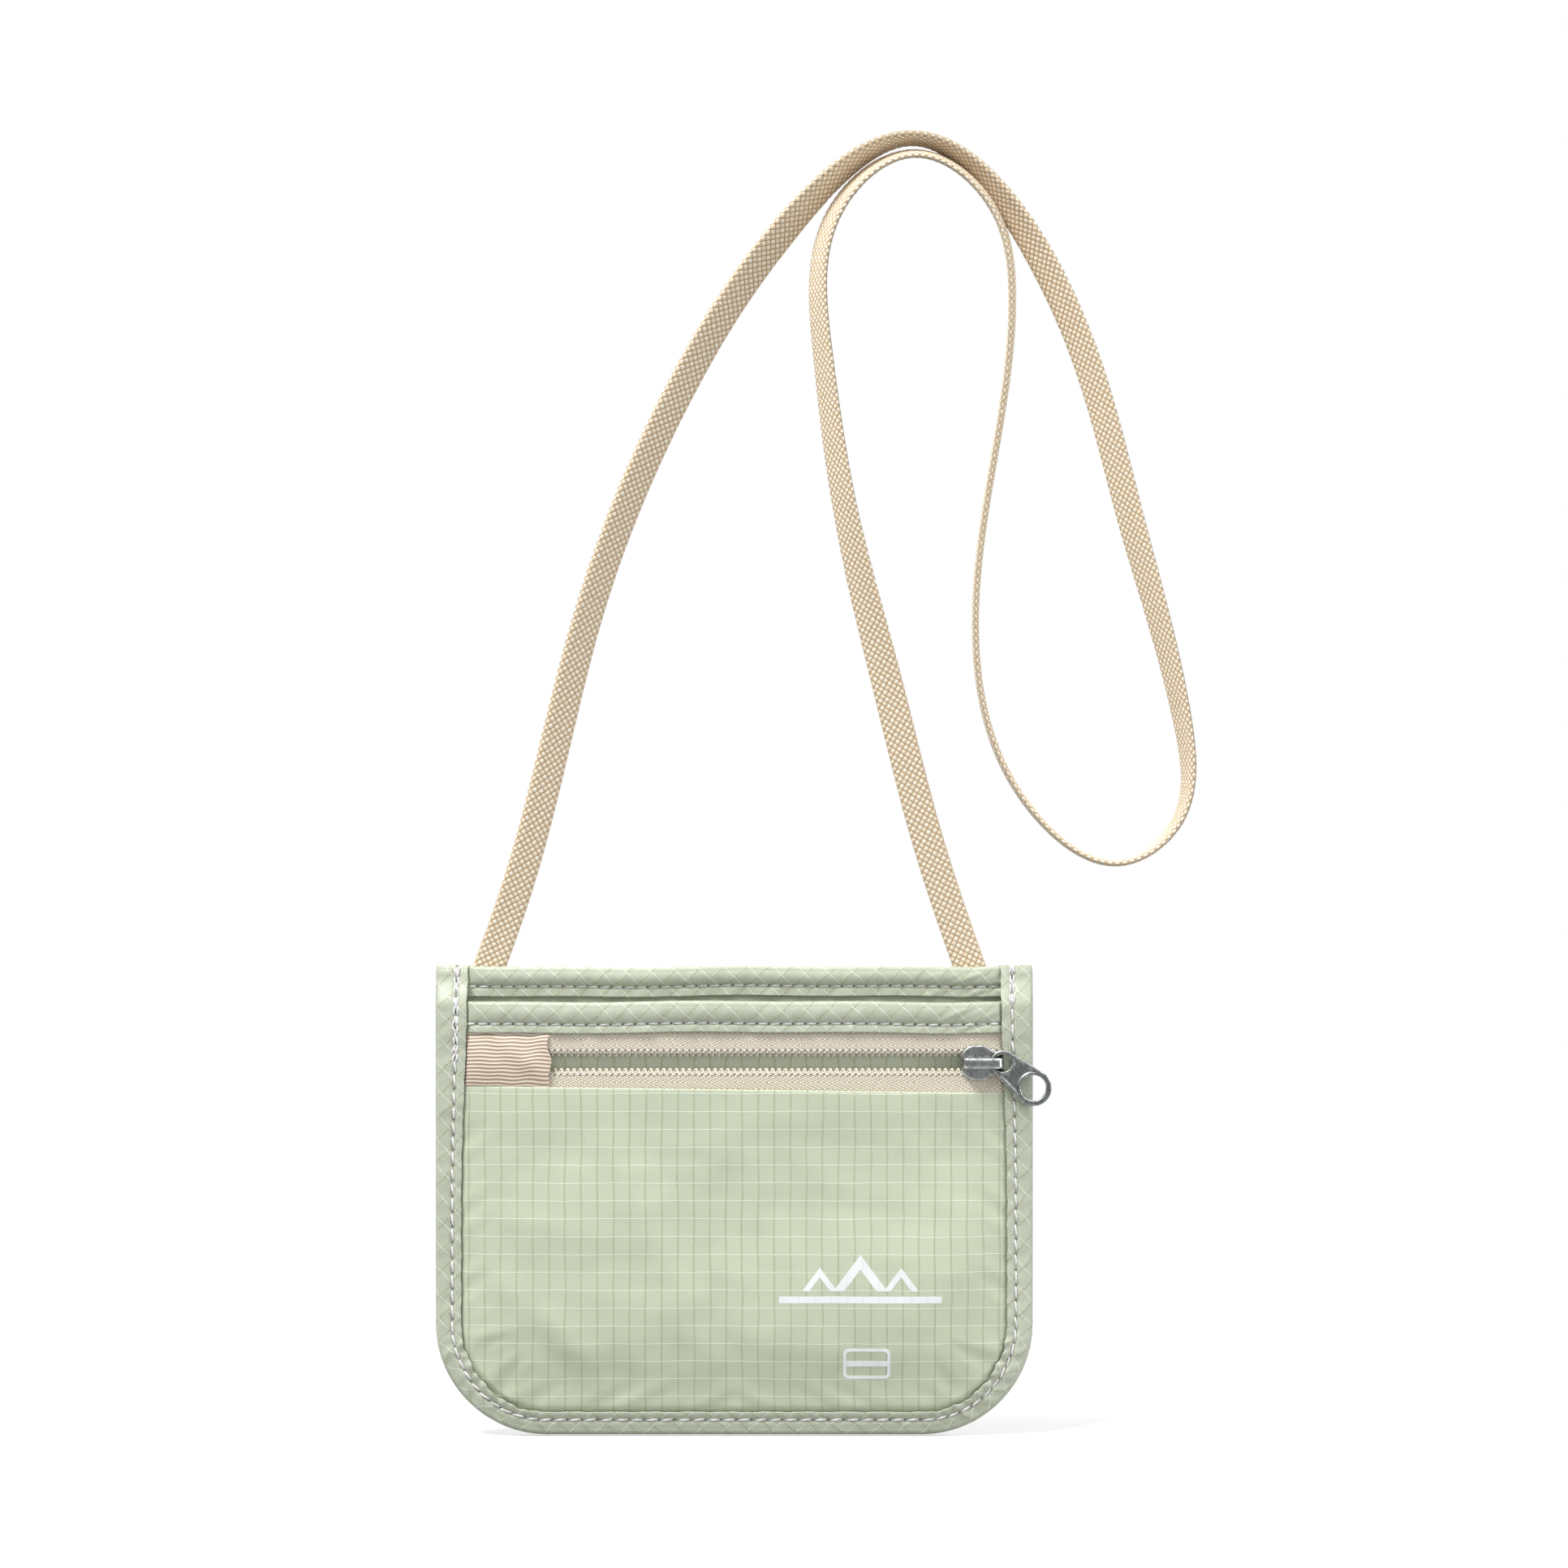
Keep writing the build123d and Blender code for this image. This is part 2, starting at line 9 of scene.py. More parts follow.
import bmesh
import bpy
import numpy as np
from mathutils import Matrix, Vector


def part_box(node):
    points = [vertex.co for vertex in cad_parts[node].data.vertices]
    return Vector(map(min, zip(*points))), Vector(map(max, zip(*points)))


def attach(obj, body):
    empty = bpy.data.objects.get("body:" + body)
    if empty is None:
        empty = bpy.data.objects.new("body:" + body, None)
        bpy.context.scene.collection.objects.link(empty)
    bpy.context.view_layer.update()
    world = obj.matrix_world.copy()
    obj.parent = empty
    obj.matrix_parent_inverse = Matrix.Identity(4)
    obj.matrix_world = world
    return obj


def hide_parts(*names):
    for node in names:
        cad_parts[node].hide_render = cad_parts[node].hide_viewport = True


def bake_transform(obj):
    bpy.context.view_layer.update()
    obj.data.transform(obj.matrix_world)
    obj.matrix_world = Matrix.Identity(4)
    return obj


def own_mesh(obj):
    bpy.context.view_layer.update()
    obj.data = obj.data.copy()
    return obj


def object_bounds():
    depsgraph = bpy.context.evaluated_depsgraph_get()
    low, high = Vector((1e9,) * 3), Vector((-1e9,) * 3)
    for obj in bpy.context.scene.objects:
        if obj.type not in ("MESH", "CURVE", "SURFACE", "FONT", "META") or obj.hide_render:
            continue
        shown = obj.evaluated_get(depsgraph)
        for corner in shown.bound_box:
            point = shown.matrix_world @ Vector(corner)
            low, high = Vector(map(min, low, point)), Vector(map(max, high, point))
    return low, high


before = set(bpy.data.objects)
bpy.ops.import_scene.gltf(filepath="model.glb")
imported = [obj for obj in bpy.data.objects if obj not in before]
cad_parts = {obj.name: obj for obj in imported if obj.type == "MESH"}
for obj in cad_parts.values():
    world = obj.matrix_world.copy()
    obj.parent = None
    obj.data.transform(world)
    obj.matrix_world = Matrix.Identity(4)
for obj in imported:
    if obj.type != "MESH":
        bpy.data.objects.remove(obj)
cad_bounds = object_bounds()

MM = 0.001


def box_mm(node):
    """The lowest and highest (x, level, z) of a CAD node, in millimetres."""
    low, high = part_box(node)
    return (
        np.array([low[0], -high[1], low[2]]) / MM,
        np.array([high[0], -low[1], high[2]]) / MM,
    )


# ---- Sizes and places ---------------------------------------------------------------------------
EDGE_LOW, EDGE_HIGH = box_mm("edge_binding")
HALF_WIDTH = EDGE_HIGH[0]
BOTTOM_Z = EDGE_LOW[2]
TOP_Z = EDGE_HIGH[2]
CORNER_RADIUS = 26.0
CLOTH = 0.28  # one layer of ripstop tape

REAR_HEM_LOW, REAR_HEM_HIGH = box_mm("rear_hem_binding")
DIVIDER_HEM_LOW, DIVIDER_HEM_HIGH = box_mm("divider_hem_binding")
TAB_LOW, TAB_HIGH = box_mm("zip_end_tab")
UPPER_TAPE_HIGH = box_mm("upper_zip_tape")[1]
LOWER_TAPE_LOW = box_mm("lower_zip_tape")[0]
UPPER_COIL_LOW = box_mm("upper_zip_coil")[0]
LOWER_COIL_HIGH = box_mm("lower_zip_coil")[1]
PANEL_HIGH = box_mm("front_panel")[1]
SLIDER_LOW, SLIDER_HIGH = box_mm("slider_body")
STRAP_END_LOW, STRAP_END_HIGH = box_mm("left_strap_end")
ZIP_Z = (UPPER_COIL_LOW[2] + LOWER_COIL_HIGH[2]) / 2
TAPE_FRONT = UPPER_TAPE_HIGH[1]

PANEL_LEVEL = 5.75  # the full middle of the front panel
EDGE_REAR_LEVEL = 0.60
HIDDEN_REACH = 4.0  # how far layers run in under the edge binding, from the outline

EDGE_PITCH = 3.6  # stitch pitches
HEM_PITCH = 2.85
RIP_ACROSS = 3.76  # spacing of the cloth's heavy threads
RIP_ALONG = 4.17
BEAD_PITCH = 0.61  # ripstop beads and dashes
TWILL_PITCH = 0.40
TAPE_BAND = 1.45  # the herringbone turns back at each band's edge
TAPE_ROW = 0.46
TAPE_STROKE = 0.86
TAPE_SLANT = math.radians(22)
COIL_PITCH = 1.5
COIL_SEAM = 0.75  # the coil's sewing, in from the tape's edge
RIB_PITCH = 0.86
BRAID_ALONG = 1.72  # the braid repeats this often along the strap
BRAID_AROUND = 1.6
BRAID_CELLS = 10  # and this many times around it


# ---- Numbers ------------------------------------------------------------------------------------
def smooth(share):
    """Eases from 0 to 1."""
    t = np.clip(share, 0, 1)
    return t * t * (3 - 2 * t)


def ripple(along, seed, wavelengths=(12.7, 7.3, 4.1)):
    """A repeatable uneven wave, at most 1 high."""
    phases = np.random.default_rng(seed).uniform(0, 2 * np.pi, len(wavelengths))
    waves = [
        np.sin(2 * np.pi * along / length + phase) * (0.8**rank)
        for rank, (length, phase) in enumerate(zip(wavelengths, phases))
    ]
    return sum(waves) / sum(0.8**rank for rank in range(len(wavelengths)))


def bell(offset, width):
    """1 at no offset, dying away to both sides."""
    return np.exp(-((offset / width) ** 2))


def arch(share):
    """Rises from 0 to 1 and back as share goes from 0 to 1."""
    return np.sin(np.pi * np.clip(share, 0, 1))


def pulse(distance, pitch):
    """1 at each multiple of pitch and 0 halfway between."""
    return 0.5 + 0.5 * np.cos(2 * np.pi * distance / pitch)


def together(*parts):
    """Coordinates side by side, stretched to one shape."""
    return np.stack(np.broadcast_arrays(*parts), axis=-1)


def unit(vectors):
    return vectors / np.linalg.norm(vectors, axis=-1, keepdims=True)


def distance_along(line):
    """How far each point of a line lies from its first, along it."""
    return np.concatenate([[0], np.cumsum(np.linalg.norm(np.diff(line, axis=0), axis=1))])


def edge_depth(x, z):
    """How far a point lies in from the pouch's outline, which is open at the top."""
    side = np.abs(x) - (HALF_WIDTH - CORNER_RADIUS)
    foot = (BOTTOM_Z + CORNER_RADIUS) - z
    corner = np.hypot(np.maximum(side, 0), np.maximum(foot, 0))
    return CORNER_RADIUS - corner - np.minimum(np.maximum(side, foot), 0)


def fullness(x, z):
    """0 at the seam round the pouch, rising to 1 where its walls are fullest."""
    return np.sin(np.pi / 2 * np.clip((edge_depth(x, z) - 5.0) / 32.0, 0, 1))


def seam_front_level(z):
    """Front of the edge binding at its inner edge: it rides over the zip and thins out at the top."""
    return 4.6 + 0.7 * smooth((z - 12) / 12) + 0.25 * smooth((z - 36) / 3) - 2.8 * smooth((z - 45) / 8)


def tucked(level, x, z):
    """A layer's front, kept clear of the edge seam's furrow where it runs in under the binding."""
    room = seam_front_level(z) - 1.10
    cover = smooth((edge_width(z) + 0.9 - edge_depth(x, z)) / 1.2)
    return np.where(level > room, level + (room - level) * cover, level)


# ---- Mesh building ------------------------------------------------------------------------------
def grid_faces(rows, columns, start=0, wrap=False):
    """Quads over a grid of vertices stored row by row."""
    index = start + np.arange(rows * columns).reshape(rows, columns)
    if wrap:
        index = np.concatenate([index, index[:, :1]], axis=1)
    corners = (index[:-1, :-1], index[1:, :-1], index[1:, 1:], index[:-1, 1:])
    return np.stack(corners, axis=-1).reshape(-1, 4)


def add_piece(name, points, faces, uv, material, flat_from=None, marks=None):
    """A mesh object from (x, level, z) points. Faces from flat_from on are shaded flat.

    marks holds one value per point under each name, for the material to read.
    """
    world = np.asarray(points, float).reshape(-1, 3) * (MM, -MM, MM)
    mesh = bpy.data.meshes.new(name)
    mesh.from_pydata(world.tolist(), [], [list(map(int, face)) for face in faces])
    layer = mesh.uv_layers.new(name="cloth")
    corner_vertex = np.empty(len(mesh.loops), int)
    mesh.loops.foreach_get("vertex_index", corner_vertex)
    layer.data.foreach_set("uv", np.asarray(uv, float).reshape(-1, 2)[corner_vertex].ravel())
    for mark, values in (marks or {}).items():
        attribute = mesh.attributes.new(mark, "FLOAT", "POINT")
        attribute.data.foreach_set("value", np.asarray(values, float).ravel())
    shade = np.ones(len(mesh.polygons), bool)
    if flat_from is not None:
        shade[flat_from:] = False
    mesh.polygons.foreach_set("use_smooth", shade)
    work = bmesh.new()
    work.from_mesh(mesh)
    bmesh.ops.recalc_face_normals(work, faces=work.faces)
    work.to_mesh(mesh)
    work.free()
    mesh.materials.append(material)
    piece = bpy.data.objects.new(name, mesh)
    bpy.context.scene.collection.objects.link(piece)
    return piece


def finish(piece, slot, *nodes):
    """Lets a piece stand for CAD nodes of the pouch. slot is not used."""
    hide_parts(*nodes)
    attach(piece, "pouch")


def shell_piece(name, outer, uv, thickness, material, marks=None):
    """A closed sheet: a grid of outer points thickened against its normals, with a rim."""
    rows, columns = outer.shape[:2]
    normal = unit(np.cross(np.gradient(outer, axis=0), np.gradient(outer, axis=1)))
    inner = outer - normal * thickness
    count = rows * columns
    index = np.arange(count).reshape(rows, columns)
    border = np.concatenate([index[0, :-1], index[:-1, -1], index[-1, :0:-1], index[:0:-1, 0]])
    after = np.roll(border, -1)
    rim = np.stack([border, after, after + count, border + count], axis=-1)
    faces = np.concatenate([grid_faces(rows, columns), grid_faces(rows, columns, count), rim])
    points = np.concatenate([outer.reshape(-1, 3), inner.reshape(-1, 3)])
    both_uv = np.concatenate([uv.reshape(-1, 2), uv.reshape(-1, 2)])
    both_marks = {mark: np.tile(np.ravel(values), 2) for mark, values in (marks or {}).items()}
    flat_from = 2 * (rows - 1) * (columns - 1)
    return add_piece(name, points, faces, both_uv, material, flat_from, both_marks)


TUBE_START = (0.11, 1.0, 0.07)  # no rod runs this way, so each ring has a place to start
TUBE_TIP = 0.12  # a rod's end, against its full radius


def tube_piece(name, lines, radius, sides, material, ply=0.0, bluntness=6):
    """Closed round rods along lines of (x, level, z) points. Blunter rods taper over less length."""
    angles = np.arange(sides) / sides * 2 * np.pi
    all_points, all_faces, all_uv, start = [], [], [], 0
    for line in lines:
        line = np.asarray(line, float)
        count = len(line)
        along = unit(np.gradient(line, axis=0))
        first = unit(np.cross(along, TUBE_START))
        second = np.cross(along, first)
        share = np.linspace(-1, 1, count)
        taper = np.maximum(1 - np.abs(share) ** bluntness, TUBE_TIP)
        length = np.linalg.norm(line[-1] - line[0])
        twist = angles[None, :] * 2 + share[:, None] * length * 3.0
        ring = radius * taper[:, None] * (1 + ply * np.cos(twist))
        points = (
            line[:, None]
            + first[:, None] * (ring * np.cos(angles))[..., None]
            + second[:, None] * (ring * np.sin(angles))[..., None]
        )
        faces = grid_faces(count, sides, start, wrap=True).tolist()
        faces.append(list(range(start, start + sides)))
        faces.append(list(range(start + (count - 1) * sides, start + count * sides)))
        uv = together(distance_along(line)[:, None], angles * radius)
        all_points.append(points.reshape(-1, 3))
        all_uv.append(uv.reshape(-1, 2))
        all_faces.extend(faces)
        start += count * sides
    return add_piece(name, np.concatenate(all_points), all_faces, np.concatenate(all_uv), material)


def make_thread(name, lines, radius, node):
    """A row of stitches on the pouch."""
    piece = tube_piece(name, lines, radius, 8, THREAD, ply=0.14)
    finish(piece, "thread", node)


def stitch_lines(points, directions, length, lift, facing):
    """One short bowed line per stitch, with its ends sunk into the cloth. facing is 1 at the front."""
    share = np.linspace(-1, 1, 9)
    bow = lift * (1 - 1.9 * share**2)
    lines = []
    for point, direction in zip(points, directions):
        line = point + direction * (share * length / 2)[:, None]
        line[:, 1] += facing * bow
        lines.append(line)
    return lines


# ---- Materials ----------------------------------------------------------------------------------
def linear(color):
    """A display colour of 0 to 255 as the linear colour that nodes use."""
    channels = [value / 255 for value in color]
    return [c / 12.92 if c <= 0.04045 else ((c + 0.055) / 1.055) ** 2.4 for c in channels] + [1.0]


def tone(color, times=1.0, plus=0.0):
    """A lighter or darker display colour."""
    return tuple(min(channel * times + plus, 255) for channel in color)


def operator(name):
    """A method that puts its value and any arguments through a math node."""
    return lambda first, *others: first.nodes.add(
        "Math", dict(enumerate((first, *others))), operation=name
    )


class Value:
    """A node's output, which ordinary arithmetic works on."""

    __add__, __sub__ = operator("ADD"), operator("SUBTRACT")
    __mul__, __truediv__ = operator("MULTIPLY"), operator("DIVIDE")
    __mod__, __abs__ = operator("MODULO"), operator("ABSOLUTE")
    floor, fract, sign, root = map(operator, ("FLOOR", "FRACT", "SIGN", "SQRT"))
    larger = operator("MAXIMUM")
    fold = operator("PINGPONG")  # runs from 0 up to a span and back

    def __init__(self, nodes, socket):
        self.nodes, self.socket = nodes, socket

    def ramp(self, low, high, start=0.0, end=1.0):
        """Eases from start at low to end at high."""
        inputs = dict(enumerate((self, low, high, start, end)))
        return self.nodes.add("MapRange", inputs, interpolation_type="SMOOTHSTEP")

    def sine(self, pitch):
        """Between -1 and 1, once round for each pitch."""
        return operator("SINE")(self * (2 * math.pi / pitch))


class Nodes:
    """A node tree under construction."""

    def __init__(self, tree):
        self.tree = tree

    def put(self, socket, value):
        """Feeds a socket with a node's output or a constant."""
        if isinstance(value, Value):
            self.tree.links.new(value.socket, socket)
        else:
            socket.default_value = value

    def add(self, kind, inputs=None, output=0, **settings):
        """A new node's output. Its inputs are fed by name or number."""
        node = self.tree.nodes.new("ShaderNode" + kind)
        for setting, value in settings.items():
            setattr(node, setting, value)
        for socket, value in (inputs or {}).items():
            self.put(node.inputs[socket], value)
        return Value(self, node.outputs[output])

    def mix(self, factor, *colors):
        """A blend of two colours, each a node's output or a display colour of 0 to 255."""
        first, second = (linear(color) if isinstance(color, tuple) else color for color in colors)
        return self.add("Mix", {"Factor": factor, "A": first, "B": second}, "Result", data_type="RGBA")

    def part(self, vector, axis):
        """One coordinate of a vector."""
        return self.add("SeparateXYZ", {0: vector}, axis)

    def place(self):
        """The piece's own coordinates, in metres."""
        return self.add("TexCoord", output="Object")

    def noise(self, vector, scale, detail=2.0):
        return self.add("TexNoise", {"Vector": vector, "Scale": scale, "Detail": detail}, "Fac")


class Surface(Nodes):
    """A material under construction."""

    def __init__(self, name, roughness, metallic=0.0, specular=0.4, sheen=0.0):
        self.material = bpy.data.materials.new(name)
        self.material.use_nodes = True
        super().__init__(self.material.node_tree)
        self.shader = self.tree.nodes["Principled BSDF"]
        self.set("Roughness", roughness)
        self.set("Metallic", metallic)
        self.set("Specular IOR Level", specular)
        self.set("Sheen Weight", sheen)

    def set(self, quality, value):
        self.put(self.shader.inputs[quality], value)

    def uv(self, turn=0.0):
        """The piece's cloth coordinates in millimetres: as a vector, across and along."""
        cloth = self.add("UVMap", uv_map="cloth")
        vector = self.add("Mapping", {"Vector": cloth, "Rotation": (0, 0, math.radians(turn))})
        return vector, self.part(vector, 0), self.part(vector, 1)

    def mark(self, name):
        """A value stored on the piece's points."""
        return self.add("Attribute", output="Fac", attribute_name=name)

    def paint_seam_shade(self, color, pitch, hole, furrow, painted_shade):
        """Paints shade into a seam's needle holes and furrow, each given as (full within, none beyond,
        strength).
        """
        off_seam = abs(self.mark("seam"))
        to_hole = self.mark("stitch").fold(0.5) * pitch
        distance = (to_hole * to_hole + off_seam * off_seam).root()
        dark = distance.ramp(*hole, 0.0).larger(off_seam.ramp(*furrow, 0.0))
        # The needle holes and the seam furrow take painted shade.
        return self.mix(dark, color, painted_shade)

    def bump(self, height, distance_mm, strength=1.0, edge_mm=0.0):
        """Relief, over edges that are shaded as if rounded by edge_mm."""
        inputs = {"Strength": strength, "Distance": distance_mm * MM, "Height": height}
        if edge_mm:
            inputs["Normal"] = self.add("Bevel", {"Radius": edge_mm * MM}, samples=8)
        self.set("Normal", self.add("Bump", inputs))

    def color(self, value):
        self.set("Base Color", value)
        return self.material


def ripstop(name, base, shade, turn=0.0, sewn=False):
    """Nylon ripstop: twill ground, beaded heavy threads one way and thin dashed ones the other."""
    surface = Surface(name, roughness=0.42, specular=0.40, sheen=0.1)
    vector, across, along = surface.uv(turn)
    drift = surface.noise(vector, 0.06) - 0.5
    across = drift * 1.1 + across
    along = drift * 0.7 + along

    # Heavy threads: pale beads that step from side to side of a darker line.
    offset = (across + 900 * RIP_ACROSS) % RIP_ACROSS - RIP_ACROSS / 2
    heavy = abs(offset).ramp(0.12, 0.30, 1.0, 0.0)
    beads = (along / BEAD_PITCH + offset.sign() * 0.25).fold(0.5).ramp(0.20, 0.38)

    # Thin threads: fine bright dashes.
    dashes = (across / BEAD_PITCH).fold(0.5).ramp(0.10, 0.28, 0.35, 1.0)
    thin = along.fold(RIP_ALONG / 2).ramp(0.05, 0.17, 1.0, 0.0) * dashes

    # Twill ground.
    twill = (along * 0.55 + across).sine(TWILL_PITCH) * 0.5 + 0.5
    light = tone(base, plus=16)
    speck = surface.noise(vector, 3.4)
    ground = surface.mix(surface.noise(vector, 0.03, 3.0).ramp(0.30, 0.70), shade, base)
    ground = surface.mix(speck.ramp(0.50, 0.75, 0.0, 0.5), ground, light)
    ground = surface.mix(speck.ramp(0.25, 0.50, 0.45, 0.0), ground, tone(shade, 0.88))
    ground = surface.mix(twill * 0.4, ground, light)
    gap = (shade[0] * 0.76, shade[1] * 0.77, shade[2] * 0.58)
    color = surface.mix(heavy * 0.88, ground, surface.mix(beads, gap, (230, 230, 212)))
    color = surface.mix(thin * 0.8, color, (240, 244, 230))
    # Sewn cloth gets painted shade in its needle holes and along its seam furrow.
    if sewn:
        color = surface.paint_seam_shade(color, 3.2, (0.20, 0.46, 0.80), (0.15, 0.60, 0.16), (112, 104, 92))
    surface.bump(twill * 0.3 + (heavy * beads * 0.9 + thin), 0.06, 0.7)
    return surface.color(color)


def thread_material(name, base):
    surface = Surface(name, roughness=0.42, specular=0.45, sheen=0.2)
    fuzz = surface.noise(surface.place(), 2600.0)
    surface.bump(fuzz, 0.05, 0.5)
    return surface.color(surface.mix(fuzz.ramp(0.3, 0.7), tone(base, 0.90), base))


def plain_cloth(name, base, scale=0.45):
    """A close plain weave."""
    surface = Surface(name, roughness=0.7, specular=0.25, sheen=0.1)
    vector, across, along = surface.uv()
    weave = across.sine(scale) * along.sine(scale) * 0.5 + 0.5
    ground = surface.mix(surface.noise(vector, 0.05), tone(base, 0.93), base)
    surface.bump(weave, 0.05, 0.6)
    return surface.color(surface.mix(weave * 0.25, ground, tone(base, plus=18)))


def film_material(name):
    surface = Surface(name, roughness=0.32, metallic=0.85, specular=0.5)
    crinkle = surface.noise(surface.place(), 180.0, 4.0)
    surface.bump(crinkle, 0.25, 0.6)
    return surface.color(surface.mix(crinkle, (168, 168, 170), (206, 206, 208)))


def herringbone(across, along):
    """Rows of short slanted strokes that turn the other way in each band: 0 in gaps, 1 on strokes."""
    folded = along.fold(TAPE_BAND)
    cos, sin = math.cos(TAPE_SLANT), math.sin(TAPE_SLANT)
    row = (across * -sin + folded * cos) / TAPE_ROW
    stroke = (across * cos + folded * sin) / TAPE_STROKE + (row + 0.5).floor() * 0.5
    return row.fold(0.5).ramp(0.0, 0.40, 1.0, 0.0) * stroke.fold(0.5).ramp(0.06, 0.26)


def zip_tape_material(name):
    """Herringbone zip tape, with painted shade in the gaps between its strokes and a painted highlight on
    their crowns, and painted shade in the needle holes of the coil's sewing along its edge.
    """
    surface = Surface(name, roughness=0.6, specular=0.3, sheen=0.15)
    vector, across, along = surface.uv()
    height = herringbone(across, along)
    # The strokes are lit in paint: gaps darker as painted shade, crowns whiter as a painted highlight.
    shadow = surface.mix(surface.noise(vector, 1.1), (184, 168, 142), (214, 202, 178))
    color = surface.mix(height.ramp(0.02, 0.30), shadow, (240, 234, 218))
    color = surface.mix(height.ramp(0.30, 0.80), color, (252, 248, 238))
    # Painted shade in the coil seam's needle holes and furrow.
    color = surface.paint_seam_shade(color, COIL_PITCH, (0.12, 0.34, 0.9), (0.08, 0.30, 0.45), (104, 76, 48))
    surface.bump(height, 0.10, 0.6)
    return surface.color(color)


def coil_material(name):
    surface = Surface(name, roughness=0.3, specular=0.5)
    grain = surface.noise(surface.place(), 900.0)
    surface.set("Subsurface Weight", 0.1)
    surface.set("Subsurface Radius", (0.0006, 0.0005, 0.0004))
    surface.bump(grain, 0.03, 0.3)
    return surface.color(surface.mix(grain, (222, 212, 190), (240, 234, 220)))


def grosgrain_material(name):
    """Ribbed ribbon: fine threads run across its ribs. Each rib has painted shade in its troughs and a
    painted highlight on its crown.
    """
    surface = Surface(name, roughness=0.5, specular=0.35, sheen=0.2)
    _, across, along = surface.uv()
    rib = along.fold(RIB_PITCH / 2).ramp(0.0, RIB_PITCH / 2)
    threads = across.sine(0.30) * 0.5 + 0.5
    # Painted shade in the rib troughs and a painted highlight along each crown.
    color = surface.mix(rib, (182, 158, 134), (230, 214, 196))
    color = surface.mix(rib.ramp(0.65, 1.0, 0.0, 0.7), color, (250, 240, 228))
    surface.bump(threads * 0.2 + rib, 0.08, 0.5)
    return surface.color(surface.mix(threads * 0.15, color, (190, 170, 144)))


def braid_material(name):
    """Flat braid: two sets of strands cross, and each strand is a bundle of filaments. Its light is partly
    painted: shade in the gaps between strands, one strand set lighter than the other, and a highlight on
    the crowns.
    """
    surface = Surface(name, roughness=0.45, specular=0.45, sheen=0.2)
    vector, along, around = surface.uv()
    lengthwise = (surface.noise(vector, 0.35) - 0.5) * 0.35 + along / BRAID_ALONG
    crosswise = around / BRAID_AROUND
    rising = lengthwise + crosswise + 100.0
    falling = lengthwise - crosswise + 100.0
    over = (rising.floor() + falling.floor()) % 2.0
    off_falling = falling.fract().fold(0.5)
    off_rising = rising.fract().fold(0.5)
    swap = (off_rising - off_falling) * over
    off_side, off_end = swap + off_falling, off_rising - swap
    edge = off_side.ramp(0.03, 0.16) * off_end.ramp(0.0, 0.24, 0.35, 1.0)
    crown = off_side.ramp(0.20, 0.42) * off_end.ramp(0.10, 0.36)

    # Filaments run along whichever strand is on top.
    filament = ((rising - falling) * over + falling).sine(0.25) * 0.5 + 0.5
    fleck = surface.noise(vector, 2.2)
    # The two strand sets are painted as lit and shaded copies of one colour.
    first = surface.mix(fleck, (246, 231, 202), (254, 245, 224))
    second = surface.mix(fleck, (232, 212, 178), (248, 233, 206))
    base = surface.mix(filament * 0.22, surface.mix(over, first, second), (206, 180, 142))
    # Painted highlight on each strand's crown, stronger on the lighter set.
    shine = crown * (over * -0.5 + 0.85) * fleck.ramp(0.3, 0.6, 0.4, 1.0)
    surface.bump(filament * 0.12 + (edge + crown), 0.10, 0.6)
    # Painted shade in the gaps round each strand.
    return surface.color(surface.mix(shine, surface.mix(edge, (176, 138, 94), base), (255, 252, 242)))


def nickel_material(name, base, roughness, edge_mm):
    """Dark plated zinc, rubbed brighter in patches, with painted shade in its hollows."""
    surface = Surface(name, roughness=roughness, metallic=1.0, specular=0.5)
    worn = surface.noise(surface.place(), 1150.0, 5.0)
    pits = surface.noise(surface.place(), 4200.0)
    # Painted shade in hollows and crevices, from ambient occlusion.
    clear_of_painted_shade = surface.add("AmbientOcclusion", {"Distance": 1.4 * MM}, "AO").ramp(0.35, 0.9)
    plate = surface.mix(worn.ramp(0.32, 0.70), tone(base, 0.80), tone(base, 1.15))
    surface.set("Roughness", worn.ramp(0.3, 0.7, roughness + 0.06, roughness - 0.06))
    surface.bump(pits * 0.4 + worn, 0.06, 0.5, edge_mm)
    return surface.color(surface.mix(clear_of_painted_shade, (40, 38, 36), plate))


def ink_material(name):
    surface = Surface(name, roughness=0.6, specular=0.3)
    _, across, _ = surface.uv()
    heavy = across.fold(RIP_ACROSS / 2).ramp(0.05, 0.3, 1.0, 0.0)
    surface.bump(heavy * 0.6 + surface.noise(surface.place(), 3000.0), 0.04, 0.5)
    return surface.color(surface.mix(heavy * 0.35, (246, 250, 250), (226, 232, 224)))


PANEL_CLOTH = ripstop("panel_ripstop", (204, 212, 186), (193, 202, 177))
BIAS_CLOTH = ripstop("bias_ripstop", (196, 202, 182), (180, 187, 166), turn=45.0, sewn=True)
THREAD = thread_material("seam_thread", (254, 251, 252))
LINING = plain_cloth("lining_cloth", (184, 188, 168))
FILM = film_material("shield_film")
TAPE = zip_tape_material("zip_tape_weave")
COIL = coil_material("coil_nylon")
GROSGRAIN = grosgrain_material("grosgrain_ribbon")
BRAID = braid_material("strap_braid")
METALS = {
    "slider_body": nickel_material("slider_nickel", (204, 207, 204), 0.25, 0.5),
    "slider_bridge": nickel_material("bridge_nickel", (214, 217, 214), 0.22, 1.0),
    "zip_pull": nickel_material("pull_nickel", (178, 182, 178), 0.26, 0.55),
}
INK = ink_material("white_ink")


# ---- Walls --------------------------------------------------------------------------------------
DRAPE_STEP = 3.0
DRAPE_FRAMES = 25
DRAPE_SETTINGS = {
    "quality": 6,
    "mass": 0.05,
    "tension_stiffness": 12,
    "compression_stiffness": 12,
    "shear_stiffness": 4,
    "bending_stiffness": 0.05,
    "vertex_group_mass": "held",
    "shrink_min": -0.012,
    "use_pressure": True,
    "uniform_pressure_force": 0.02,
}


